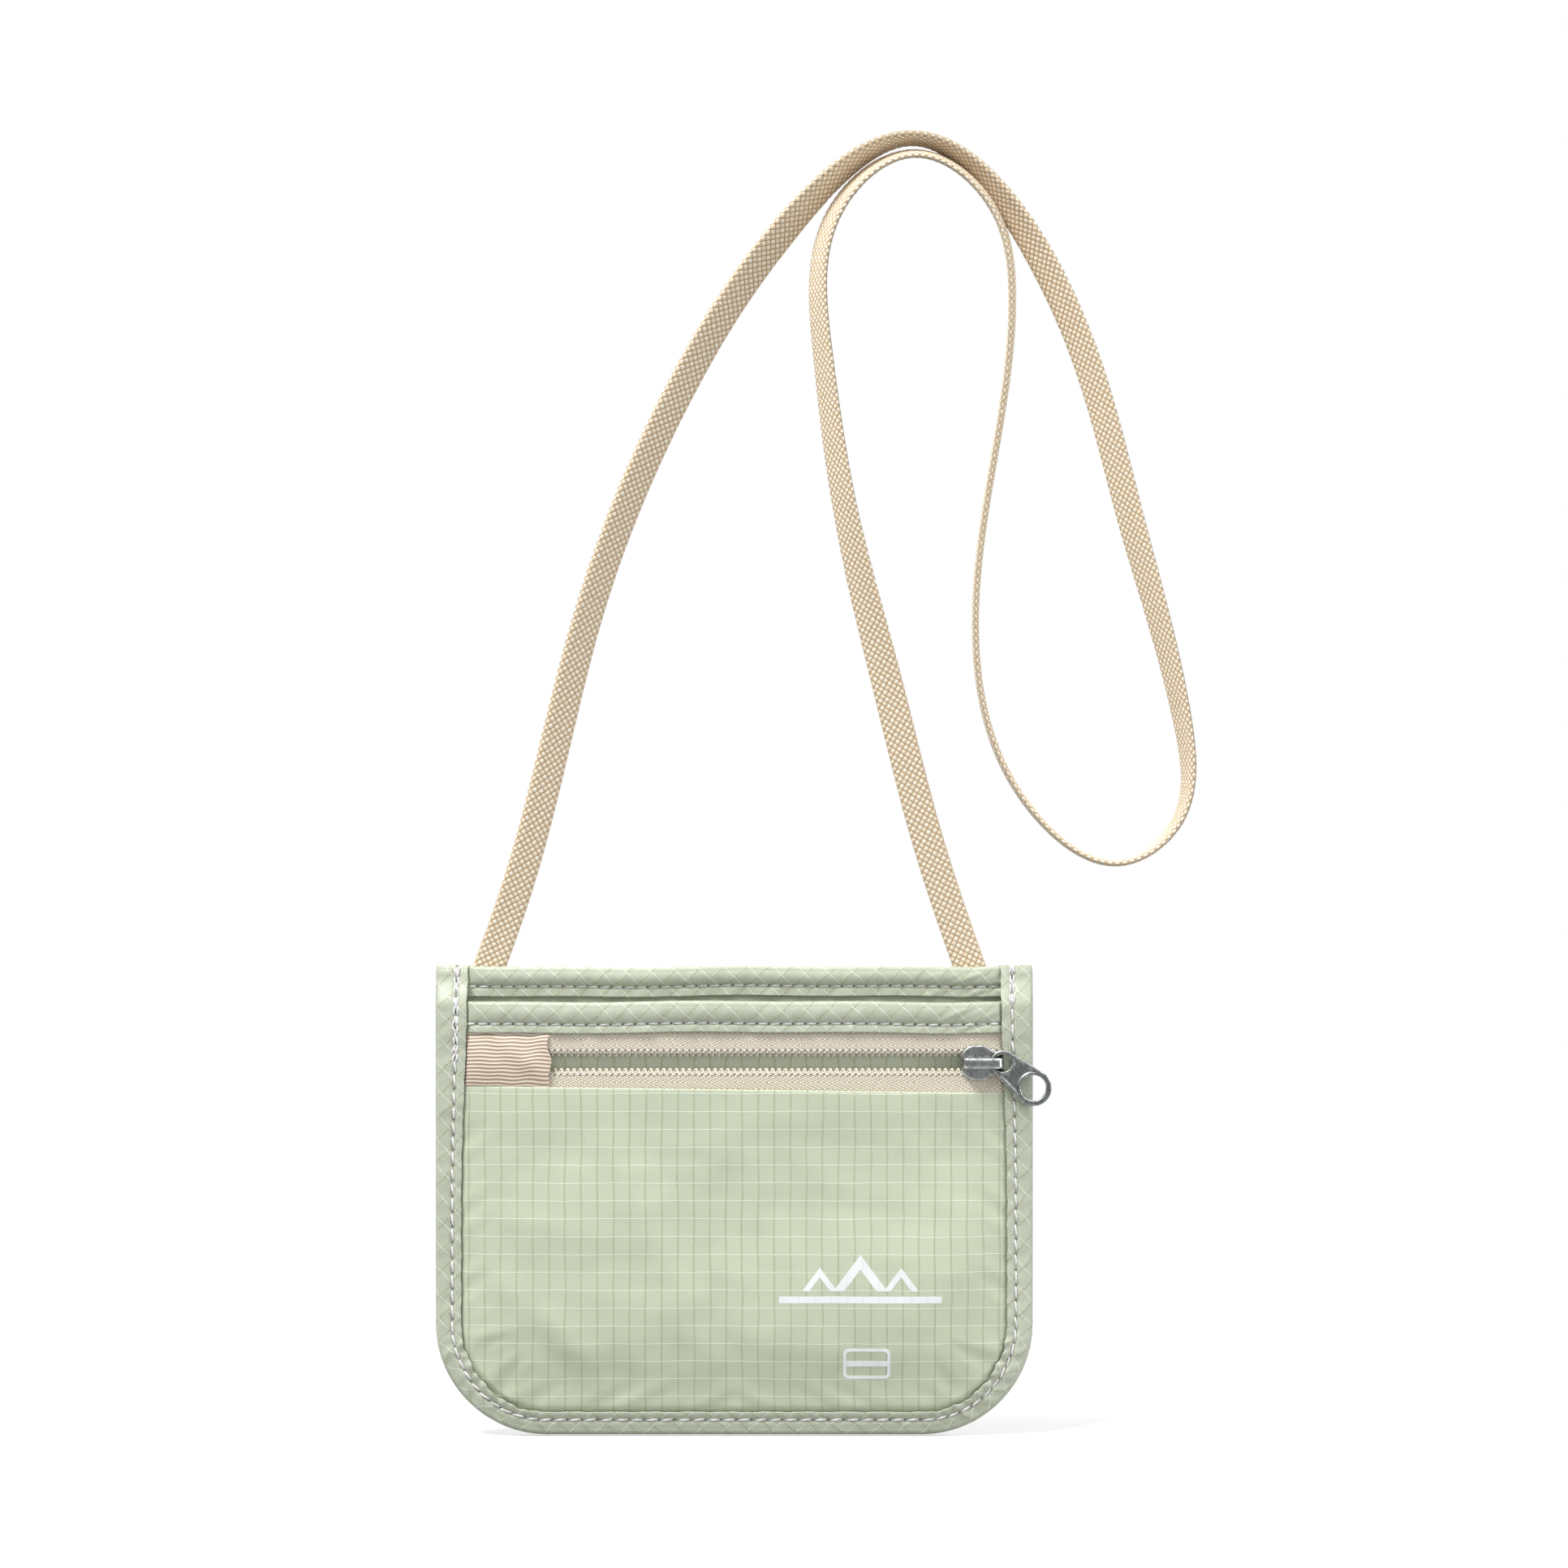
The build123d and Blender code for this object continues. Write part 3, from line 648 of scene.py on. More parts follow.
def drape_field():
    """How far a slack sheet, held round its edge, bulges off flat: a small cloth simulation.

    Returns (x, z, depth) on an even grid, with depth scaled to at most 1 either way.
    """
    xs = np.arange(-HALF_WIDTH + 6, HALF_WIDTH - 5.9, DRAPE_STEP)
    zs = np.arange(BOTTOM_Z + 5, LOWER_TAPE_LOW[2] + 9, DRAPE_STEP)
    grid_x, grid_z = np.meshgrid(xs, zs)
    start = 0.15 * ripple(grid_x * 0.9 + grid_z * 0.35, 3, (37.0, 21.0, 13.0))
    flat = together(grid_x, start, grid_z)
    sheet = add_piece("drape_sheet", flat, grid_faces(*grid_x.shape), flat[..., (0, 2)], LINING)
    group = sheet.vertex_groups.new(name="held")
    held = (edge_depth(grid_x, grid_z) < 8.5) | (grid_z > zs[-1] - 1)
    group.add([int(i) for i in np.flatnonzero(held.ravel())], 1.0, "REPLACE")
    cloth = sheet.modifiers.new("cloth", "CLOTH")
    for setting, value in DRAPE_SETTINGS.items():
        setattr(cloth.settings, setting, value)
    cloth.settings.effector_weights.gravity = 0
    scene = bpy.context.scene
    for number in range(1, DRAPE_FRAMES + 1):
        scene.frame_set(number)
    moved = sheet.evaluated_get(bpy.context.evaluated_depsgraph_get())
    depth = np.array([-vertex.co.y for vertex in moved.to_mesh().vertices]).reshape(grid_x.shape) / MM
    moved.to_mesh_clear()
    bpy.data.objects.remove(sheet)
    scene.frame_set(1)
    depth = depth - np.median(depth)
    return xs, zs, depth / np.abs(depth).max()


def spread(xs, zs, depth, factor=5):
    """The same field on a finer grid, smoothed."""
    fine_x = np.linspace(xs[0], xs[-1], (len(xs) - 1) * factor + 1)
    fine_z = np.linspace(zs[0], zs[-1], (len(zs) - 1) * factor + 1)
    rows = np.array([np.interp(fine_x, xs, row) for row in depth])
    field = np.array([np.interp(fine_z, zs, column) for column in rows.T]).T
    for _ in range(factor * 2):
        padded = np.pad(field, 1, mode="edge")
        upright = padded[:-2, 1:-1] + padded[2:, 1:-1]
        sideways = padded[1:-1, :-2] + padded[1:-1, 2:]
        field = (upright + sideways + 2 * field) / 6
    return fine_x, fine_z, field


DRAPE = spread(*drape_field())


def drape(x, z):
    """The draped field at a point, 0 outside it."""
    xs, zs, field = DRAPE
    column = np.clip((x - xs[0]) / (xs[1] - xs[0]), 0, len(xs) - 1.001)
    row = np.clip((z - zs[0]) / (zs[1] - zs[0]), 0, len(zs) - 1.001)
    i, j = row.astype(int), column.astype(int)
    a, b = row - i, column - j
    low = field[i, j] * (1 - b) + field[i, j + 1] * b
    high = field[i + 1, j] * (1 - b) + field[i + 1, j + 1] * b
    return low * (1 - a) + high * a


def sag(x, z):
    """The front panel's slack gathers low down, and turns under towards the bottom seam."""
    turn = 20.0 - 8.0 * x / HALF_WIDTH
    return smooth((z - BOTTOM_Z - 6.0) / turn) * smooth((18.0 - z) / 34.0) * (1.0 - 0.15 * x / HALF_WIDTH)


def creases(x, z):
    """Short puckers that fan in from the rounded corners, and a long soft fold across the lower left."""
    across = np.abs(x) - (HALF_WIDTH - CORNER_RADIUS)
    down = BOTTOM_Z + CORNER_RADIUS - z
    radius, angle = np.hypot(across, down), np.arctan2(down, across)
    ring = smooth((radius - 6.0) / 8) * smooth((21.5 - radius) / 4)
    fan = ring * smooth((across + 2) / 5) * smooth((down + 2) / 5)
    puckers = 0.24 * ripple(16 * angle + 3 * np.sign(x), 24, (8.9, 5.1)) * fan
    right, up = x + HALF_WIDTH - 12.0, z - BOTTOM_Z - 41.0
    along, off = (right - up) / math.sqrt(2), (right + up) / math.sqrt(2)
    fold = 0.55 * bell(off, 4.2) * smooth(along / 10) * smooth((48.0 - along) / 22)
    return puckers + fold


def panel_level(x, z):
    """Front of the front panel: held at the seam and the zip, and soft between them."""
    full = fullness(x, z)
    seam = seam_front_level(z) - CLOTH - 0.08
    calm_top = smooth((PANEL_HIGH[2] - z) / 14)
    soft = (0.95 * drape(x, z) * calm_top + 1.15 * sag(x, z)) * smooth(full * 1.4)
    near_seam = bell(edge_depth(x, z) - 8.0, 4.5)
    pucker = 0.17 * ripple(z * 0.8 + 0.5 * np.abs(x), 21, (7.3, 4.7)) * near_seam + creases(x, z)
    return tucked(seam + (PANEL_LEVEL - seam) * full + soft + pucker * calm_top, x, z)


def back_level(x, z):
    """Rear of the back wall, which is flat against the wearer in its middle."""
    full = fullness(x, z)
    pucker = 0.08 * ripple(z - 0.3 * x, 22, (6.7, 4.3)) * bell(edge_depth(x, z) - 8.0, 3.0)
    return 0.95 - 0.85 * full + 0.18 * drape(-x, z * 0.9) * full + pucker


def divider_rear_level(x, z):
    """Rear of the divider, which lies flat behind the slider's path and steps forward above it."""
    rise = smooth((z - SLIDER_HIGH[2] - 0.15) / 3.2)
    wave = 0.15 * drape(x * 0.8, -z) * smooth((SLIDER_LOW[2] - z) / 8)
    low = 1.95 + (0.2 + wave) * fullness(x, z)
    return tucked(low + (3.8 - low) * rise, x, z)


def wall_grid(low, high, step):
    """Points over a wall, whose edge runs in under the binding: x and z grids that follow its corners."""
    rows = max(int((high - low) / step), 2) + 1
    columns = int(2 * (HALF_WIDTH - HIDDEN_REACH) / step) + 1
    z = np.linspace(low, high, rows)
    radius = CORNER_RADIUS - HIDDEN_REACH
    drop = np.clip(BOTTOM_Z + CORNER_RADIUS - z, 0, radius - 0.01)
    reach = HALF_WIDTH - CORNER_RADIUS + np.sqrt(radius**2 - drop**2)
    share = np.linspace(-1, 1, columns)
    return reach[:, None] * share[None, :], np.repeat(z[:, None], columns, axis=1)


def make_wall(name, slot, material, level, thickness, low, high, step=1.3):
    """A cloth wall whose rear lies at level(x, z)."""
    x, z = wall_grid(low, high, step)
    outer = together(x, level(x, z), z)
    piece = shell_piece(f"{name}_sheet", outer, together(x, z), thickness, material)
    finish(piece, slot, name)


def top_edge_of_panel(x):
    """The front panel's folded edge falls a little towards the slider."""
    return PANEL_HIGH[2] + 0.2 - 0.9 * x / HALF_WIDTH


def rolled(edge, axis, reach, drop, degrees, tuck):
    """Rows of points that turn an edge over and down behind its face, and then run back by tuck."""
    rows = []
    for angle in np.radians(degrees):
        row = edge.copy()
        row[:, axis] += reach * np.sin(angle)
        row[:, 1] -= drop * (1 - np.cos(angle))
        rows.append(row)
    under = rows[-1].copy()
    under[:, axis] -= tuck
    return np.array(rows + [under])


def make_front_panel():
    """The zip pocket's front wall, bulged like slack cloth."""
    x, z = wall_grid(BOTTOM_Z + HIDDEN_REACH, PANEL_HIGH[2], 0.8)
    share = (z - z[0, 0]) / (z[-1, 0] - z[0, 0])
    z = z + (top_edge_of_panel(x) - PANEL_HIGH[2]) * smooth(share * 1.6 - 0.6)
    face = together(x, panel_level(x, z), z)
    # The top edge is a fold: its last rows roll over and down behind the face.
    rolls = rolled(face[-1], 2, 0.34, 0.34, (30, 60, 90, 120, 150, 180), 5.0)
    outer = np.concatenate([face, rolls])
    beyond = np.concatenate([z, z[-1:] + np.array([0.2, 0.4, 0.6, 0.8, 1.0, 1.1, 6.0])[:, None]])
    uv = together(np.concatenate([x, np.repeat(x[-1:], len(rolls), axis=0)]), beyond)
    piece = shell_piece("front_panel_cloth", outer, uv, 0.12, PANEL_CLOTH)
    finish(piece, "ripstop", "front_panel")


def behind(level, gap):
    """A layer's level function, gap behind another's."""
    return lambda x, z: level(x, z) - gap


def make_walls():
    """Every cloth layer but the front panel, as slot, material, level, thickness, low and high."""
    low, film_low = BOTTOM_Z + HIDDEN_REACH, BOTTOM_Z + 4.4
    top = REAR_HEM_HIGH[2] - 0.6
    front_top = LOWER_TAPE_LOW[2] - 0.5
    make_wall("back_panel", "ripstop", PANEL_CLOTH, back_level, -0.3, low, top)
    make_wall("rear_shield", "shield_film", FILM, behind(back_level, -0.36), -0.08, film_low, top - 0.5)
    make_wall("rear_lining", "lining", LINING, behind(back_level, -0.50), -0.15, low, top)
    divider_top = DIVIDER_HEM_HIGH[2] - 0.6
    make_wall("divider_panel", "ripstop", PANEL_CLOTH, divider_rear_level, -0.2, low, divider_top, 1.0)
    make_wall("front_lining", "lining", LINING, behind(panel_level, 1.0), -0.15, low, front_top)
    film_top = front_top - 0.5
    make_wall("front_shield", "shield_film", FILM, behind(panel_level, 0.7), -0.08, film_low, film_top)


def make_front_print():
    """The two plain marks, laid on the draped cloth."""
    work = bmesh.new()
    print_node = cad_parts["front_print"]
    work.from_mesh(print_node.data)
    work.transform(print_node.matrix_world)
    bmesh.ops.remove_doubles(work, verts=work.verts, dist=1e-6)
    for _ in range(5):
        long_edges = [edge for edge in work.edges if edge.calc_length() > 1.1 * MM]
        bmesh.ops.subdivide_edges(work, edges=long_edges, cuts=1)
        bmesh.ops.triangulate(work, faces=work.faces)
    front_y = min(vertex.co.y for vertex in work.verts)
    uv = []
    for vertex in work.verts:
        x, z = vertex.co.x / MM, vertex.co.z / MM
        rise = 0.05 if vertex.co.y < front_y + 0.01 * MM else -0.02
        vertex.co.y = -(float(panel_level(np.array(x), np.array(z))) + rise) * MM
        uv.append((x, z))
    mesh = bpy.data.meshes.new("front_print_ink")
    work.to_mesh(mesh)
    work.free()
    layer = mesh.uv_layers.new(name="cloth")
    for loop in mesh.loops:
        layer.data[loop.index].uv = uv[loop.vertex_index]
    mesh.materials.append(INK)
    piece = bpy.data.objects.new("front_print_ink", mesh)
    bpy.context.scene.collection.objects.link(piece)
    finish(piece, "print", "front_print")


# ---- Folded bindings ----------------------------------------------------------------------------
FOLD_RADIUS = 1.1


def fold_section(front, rear, front_depths, rear_depths):
    """One section of a folded tape as (depth, level) points, from its front edge round to its rear edge."""
    middle = (front(FOLD_RADIUS) + rear(FOLD_RADIUS)) / 2
    half = (front(FOLD_RADIUS) - rear(FOLD_RADIUS)) / 2
    angles = np.linspace(0, np.pi, 13)[1:-1]
    leg_front = together(front_depths, front(front_depths))
    fold = together(FOLD_RADIUS * (1 - np.sin(angles)), middle + half * np.cos(angles))
    leg_rear = together(rear_depths, rear(rear_depths))
    return np.concatenate([leg_front, fold, leg_rear])


def folded_tape(name, origins, inward, distance, sections, seam_depths, pitch, thickness):
    """A closed tape folded over a line. origins and inward are (x, z); sections hold (depth, level).

    thickness is negative where the line runs the other way round the cloth.
    """
    depth, level = sections[..., 0], sections[..., 1]
    x = origins[:, None, 0] + inward[:, None, 0] * depth
    z = origins[:, None, 1] + inward[:, None, 1] * depth
    girth = np.array([distance_along(section) for section in sections])
    stitch = np.repeat(distance[:, None] / pitch + 100, depth.shape[1], axis=1)
    marks = {"seam": depth - np.reshape(seam_depths, (-1, 1)), "stitch": stitch}
    uv = together(distance[:, None], girth)
    return shell_piece(name, together(x, level, z), uv, thickness, BIAS_CLOTH, marks)


def edge_line(step):
    """The pouch's U-shaped outline, from the top left round to the top right."""
    straight = TOP_Z - (BOTTOM_Z + CORNER_RADIUS)
    arc = CORNER_RADIUS * np.pi / 2
    base = 2 * (HALF_WIDTH - CORNER_RADIUS)
    total = 2 * (straight + arc) + base
    distance = np.linspace(0, total, int(total / step) + 1)
    origins, inward = np.empty((len(distance), 2)), np.empty((len(distance), 2))
    for index, s in enumerate(distance):
        mirrored = s > total / 2
        r = total - s if mirrored else s
        if r < straight:
            point, normal = (-HALF_WIDTH, TOP_Z - r), (1.0, 0.0)
        elif r < straight + arc:
            angle = (r - straight) / CORNER_RADIUS
            normal = (math.cos(angle), math.sin(angle))
            point = (
                -HALF_WIDTH + CORNER_RADIUS - CORNER_RADIUS * normal[0],
                BOTTOM_Z + CORNER_RADIUS - CORNER_RADIUS * normal[1],
            )
        else:
            point, normal = (-HALF_WIDTH + CORNER_RADIUS + r - straight - arc, BOTTOM_Z), (0.0, 1.0)
        side = -1 if mirrored else 1
        origins[index] = (side * point[0], point[1])
        inward[index] = (side * normal[0], normal[1])
    return origins, inward, distance


def edge_width(z):
    """Visible width of the edge binding: narrow below, wider at the top."""
    return 5.5 + 0.6 * smooth((z + 54) / 12) + 1.4 * smooth(z / 50)


def seam_depth(z):
    """How far in from the outline the edge seam runs."""
    return 0.66 * edge_width(z)


def corner_bunching(origins):
    """1 in the two lower corners, where the bias tape is eased round, and 0 elsewhere."""
    across = np.abs(origins[..., 0]) - (HALF_WIDTH - CORNER_RADIUS)
    down = BOTTOM_Z + CORNER_RADIUS - origins[..., 1]
    return smooth(np.minimum(across, down) / 8)


def edge_front(depth, origin, distance):
    """Front of the edge binding at a depth from the outline."""
    z = origin[1]
    inner = seam_front_level(z)
    outer = inner - 0.55 - 0.60 * smooth((BOTTOM_Z + 22.0 - z) / 16.0)
    seam = seam_depth(z)
    bunch = float(corner_bunching(origin))
    rise = outer + (inner - outer) * smooth((depth - 1.2) / (edge_width(z) - 1.2))
    pinch = (0.30 + 0.26 * pulse(distance, EDGE_PITCH)) * bell(depth - seam, 0.6)
    puff = 0.28 * arch(depth / seam)
    gather = (0.10 + 0.14 * bunch) * ripple(distance + 0.55 * depth, 11, (8.3, 3.6, 5.3))
    lip = (0.06 + 0.22 * bunch) * np.clip((depth - seam) / 1.8, 0, 1) * ripple(distance, 12, (3.6, 7.9))
    return rise - pinch + puff + gather * np.clip(depth / 2, 0, 1) + lip


def edge_rear(depth, origin, distance):
    """Rear of the edge binding at a depth from the outline."""
    z = origin[1]
    seam = seam_depth(z)
    pinch = (0.10 + 0.10 * pulse(distance, EDGE_PITCH)) * bell(depth - seam, 0.6)
    puff = 0.16 * arch(depth / seam)
    gather = 0.07 * ripple(distance + 0.5 * depth, 13, (7.7, 3.9, 5.9))
    return EDGE_REAR_LEVEL + pinch - puff + gather * np.clip(depth / 2, 0, 1)


def make_edge_binding():
    """The bias tape folded over both sides and the bottom of the pouch."""
    origins, inward, distance = edge_line(0.6)
    total = distance[-1]
    sections = []
    for origin, s in zip(origins, distance):
        bunch = float(corner_bunching(origin))
        width = edge_width(origin[1]) + (0.12 + 0.25 * bunch) * float(ripple(s, 14, (9.1, 3.6)))
        section = fold_section(
            lambda depth: edge_front(depth, origin, s),
            lambda depth: edge_rear(depth, origin, s),
            np.linspace(width, FOLD_RADIUS, 22),
            np.linspace(FOLD_RADIUS, edge_width(origin[1]) + 0.4, 16),
        )
        # Each end of the tape is turned in, so it closes and rounds off.
        to_end = min(s, total - s)
        close = math.sqrt(max(1 - min(to_end / 1.4, 1.0), 0.0)) * 0.72
        middle = (section[:, 1].max() + section[:, 1].min()) / 2
        section[:, 1] += (middle - section[:, 1]) * close
        section[:, 0] += 0.5 * close**2
        sections.append(section)
    seams = seam_depth(origins[:, 1])
    lines = (origins, inward, distance)
    piece = folded_tape("edge_binding_tape", *lines, np.array(sections), seams, EDGE_PITCH, CLOTH)
    finish(piece, "binding", "edge_binding")


def edge_seam(places, facing, sideways=0.0):
    """Centres and directions of edge stitches at distances along the outline."""
    origins, inward, distance = edge_line(0.5)
    points, directions = [], []
    for place in places:
        index = int(np.clip(np.searchsorted(distance, place), 1, len(distance) - 2))
        origin, normal = origins[index], inward[index]
        depth = seam_depth(origin[1]) + sideways
        surface = edge_front if facing > 0 else edge_rear
        level = float(surface(np.array(depth), origin, distance[index]))
        point = np.array([origin[0] + normal[0] * depth, level, origin[1] + normal[1] * depth])
        ahead = unit(origins[index + 1] - origins[index - 1])
        points.append(point)
        directions.append(np.array([ahead[0], 0.0, ahead[1]]))
    return points, directions


def turned(directions, degrees):
    """Directions in the wall's plane, each turned by its own angle."""
    result = []
    for (x, _, z), angle in zip(directions, np.radians(degrees)):
        cos, sin = np.cos(angle), np.sin(angle)
        result.append(np.array([x * cos - z * sin, 0.0, x * sin + z * cos]))
    return result


def make_edge_thread():
    """The edge binding's seam: stitches in front and behind."""
    total = edge_line(5.0)[2][-1]
    rng = np.random.default_rng(31)
    places = np.arange(EDGE_PITCH * 0.5, total - 1, EDGE_PITCH)
    lines = []
    for facing, slant in ((1, 7.0), (-1, -5.0)):
        points, directions = edge_seam(places, facing)
        angles = slant + rng.normal(0, 3.0, len(places))
        lines += stitch_lines(points, turned(directions, angles), EDGE_PITCH * 0.86, 0.22, facing)
    make_thread("edge_seam_thread", lines, 0.24, "edge_thread")


def make_end_tacks():
    """Where the edge seam starts and ends it is sewn back over itself."""
    total = edge_line(5.0)[2][-1]
    rng = np.random.default_rng(32)
    lines = []
    for reach, from_end in ((22.0, False), (8.5, True)):
        for offset in (-0.42, 0.38):
            places = np.arange(1.4, reach, EDGE_PITCH * 0.62)
            places = total - places if from_end else places
            points, directions = edge_seam(places, 1, offset)
            angles = rng.normal(0, 13.0, len(places))
            lines += stitch_lines(points, turned(directions, angles), 2.5, 0.26, 1)
    make_thread("edge_end_tacks", lines, 0.22, "binding_end_tacks")


def hem_front(depth, x, seam, flange, base, puff, seed, mouth_z):
    """Front of a hem: a soft roll above its seam and a flat flange below it."""
    ends = smooth((HALF_WIDTH - 6.0 - np.abs(x)) / 9)
    stitch = pulse(x + HALF_WIDTH - HIDDEN_REACH, HEM_PITCH)
    roll = puff * (0.35 + 0.65 * ends) * arch(depth / seam) ** 0.8
    pinch = (0.26 + 0.22 * stitch) * bell(depth - seam, 0.45)
    pull = 0.16 * smooth((x - 38) / 20) * ripple(x + 2.2 * depth, seed + 2, (8.0, 4.6))
    gather = 0.13 * ripple(x + 0.6 * depth, seed, (9.7, 5.3, 3.1)) + pull
    gather = gather * np.clip(depth / 1.5, 0, 1)
    flare = np.clip((depth - seam) / (flange - seam), 0, 1)
    lift = 0.10 * flare * (1 + ripple(x, seed + 1, (17.0, 9.0)))
    level = base + roll - pinch + gather * (0.4 + 0.6 * ends) + lift
    return tucked(level, x, mouth_z - depth)


def hem_wave(x, seed, height):
    """The mouth's edge is never quite straight."""
    return height * ripple(x, seed, (97.0, 41.0)) * smooth((HALF_WIDTH - 6 - np.abs(x)) / 15)


HEMS = {
    "rear": {
        "low": REAR_HEM_LOW[2], "high": REAR_HEM_HIGH[2] + 0.5,
        "seam": 4.7, "seed": 41, "wave": 0.30, "puff": 1.05,
    },
    "divider": {
        "low": DIVIDER_HEM_LOW[2], "high": DIVIDER_HEM_HIGH[2],
        "seam": 5.2, "seed": 51, "wave": 0.25, "puff": 0.80,
    },
}


def hem_levels(kind, x):
    """Flat front and rear levels of a hem at x."""
    if kind == "rear":
        rear = back_level(x, REAR_HEM_LOW[2] + 3.0) - 0.30
        return rear + 1.32, rear
    return np.full_like(x, DIVIDER_HEM_HIGH[1] + 0.25), np.full_like(x, DIVIDER_HEM_LOW[1])


def hem_surface(kind, x, depth):
    """Front of one of the two hems, at x and at a depth below its mouth."""
    hem = HEMS[kind]
    base, _ = hem_levels(kind, np.asarray(x, float))
    flange = hem["high"] - hem["low"]
    return hem_front(depth, x, hem["seam"], flange, base, hem["puff"], hem["seed"], hem["high"])


def make_hem(kind):
    """The tape folded over a pocket wall's top edge."""
    hem = HEMS[kind]
    reach = HALF_WIDTH - HIDDEN_REACH
    xs = np.arange(-reach, reach + 0.1, 0.6)
    tops = hem["high"] + hem_wave(xs, hem["seed"] + 3, hem["wave"])
    width = hem["high"] - hem["low"]
    _, rears = hem_levels(kind, xs)
    sections = []
    for x, rear_level in zip(xs, rears):
        sections.append(
            fold_section(
                lambda depth: hem_surface(kind, x, depth),
                lambda depth: rear_level + 0.12 * bell(depth - hem["seam"], 0.5),
                np.linspace(width, FOLD_RADIUS, 20),
                np.linspace(FOLD_RADIUS, width, 12),
            )
        )
    inward = np.repeat([[0.0, -1.0]], len(xs), axis=0)
    lines = (together(xs, tops), inward, xs + reach)
    piece = folded_tape(f"{kind}_hem_tape", *lines, np.array(sections), hem["seam"], HEM_PITCH, -CLOTH)
    finish(piece, "binding", f"{kind}_hem_binding")


def make_hem_thread(kind):
    """The hem's seam: stitches in front and behind."""
    hem = HEMS[kind]
    rng = np.random.default_rng(hem["seed"])
    reach = HALF_WIDTH - HIDDEN_REACH
    places = np.arange(-reach + HEM_PITCH * 1.5, reach - HEM_PITCH, HEM_PITCH)
    lines = []
    for facing in (1, -1):
        points, directions = [], []
        for x in places:
            z = hem["high"] + float(hem_wave(x, hem["seed"] + 3, hem["wave"])) - hem["seam"]
            level = float(hem_surface(kind, x, hem["seam"]))
            if facing < 0:
                level = float(hem_levels(kind, np.array(float(x)))[1]) + 0.12
            points.append(np.array([x, level, z]))
            directions.append(np.array([1.0, 0.0, 0.0]))
        angles = facing * 4.0 + rng.normal(0, 2.5, len(places))
        lines += stitch_lines(points, turned(directions, angles), HEM_PITCH * 0.86, 0.20, facing)
    make_thread(f"{kind}_hem_seam_thread", lines, 0.21, f"{kind}_hem_thread")


# ---- Zip ----------------------------------------------------------------------------------------
ZIP_TRAVEL = 95.0
ZIP_SIDES = {"upper": 1, "lower": -1}
# Beyond this place, inside the slider when the zip is closed, the two sides stay apart round its wedge.
ZIP_END_X = (SLIDER_LOW[0] + SLIDER_HIGH[0]) / 2 - ZIP_TRAVEL + 1.0


def close_with_zip(piece):
    """Gives the piece its own copy of its mesh."""
    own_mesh(piece)


def finish_zip_part(piece, name, slot, closes):
    """A part that closes only gets its own copy of its mesh. The others stand apart for good."""
    finish(piece, slot, name)
    if closes:
        close_with_zip(piece)


def tape_relief(x, z):
    """Herringbone relief in step with the tape's weave."""
    folded = np.abs((z / TAPE_BAND + 1) % 2 - 1) * TAPE_BAND
    height = folded * math.cos(TAPE_SLANT) - x * math.sin(TAPE_SLANT)
    length = x * math.cos(TAPE_SLANT) + folded * math.sin(TAPE_SLANT)
    row = height / TAPE_ROW
    stroke = length / TAPE_STROKE + 0.5 * np.floor(row + 0.5)
    return pulse(row, 1) * (1 - pulse(stroke, 1))


def make_tape(half, side):
    """One side's woven tape, from the coil to where it runs in under the cloth."""
    name = f"{half}_zip_tape"
    low, high = box_mm(name)
    reach = UPPER_TAPE_HIGH[0]
    near, far = (low[2], high[2]) if side > 0 else (high[2], low[2])
    visible = near + side * 7.5
    z = np.concatenate([np.linspace(near, visible, 34), np.linspace(visible, far, 6)[1:]])
    xs = np.arange(-reach, reach + 0.1, 0.24)
    grid_x, grid_z = np.meshgrid(xs, z)
    under_hem = 0.27 * smooth((grid_z - (DIVIDER_HEM_LOW[2] - 0.8)) / 1.5)
    off_seam = np.abs(grid_z - near) - COIL_SEAM
    roll = 0.18 * bell(grid_z - near, 0.35)
    furrow = 0.14 * bell(off_seam, 0.22)
    level = TAPE_FRONT - 0.06 + 0.10 * tape_relief(grid_x, grid_z) - under_hem - roll - furrow
    level = tucked(level, grid_x, grid_z)
    if side < 0:
        # Below the front panel's fold the tape lies close behind it.
        hidden = panel_level(grid_x, grid_z) - 0.65
        level = np.where(grid_z < PANEL_HIGH[2] - 1.5, np.minimum(level, hidden), level)
    outer = together(grid_x, level, grid_z)
    marks = {"seam": off_seam, "stitch": grid_x / COIL_PITCH + 100}
    split = int(np.searchsorted(xs, ZIP_END_X))
    for columns, suffix in ((slice(0, split + 1), "_weave_end"), (slice(split, None), "_weave")):
        part = outer[:, columns]
        part_marks = {mark: values[:, columns] for mark, values in marks.items()}
        piece = shell_piece(name + suffix, part, part[..., (0, 2)], 0.34 * side, TAPE, part_marks)
        finish_zip_part(piece, name, "zip_tape", closes=columns.stop is None)


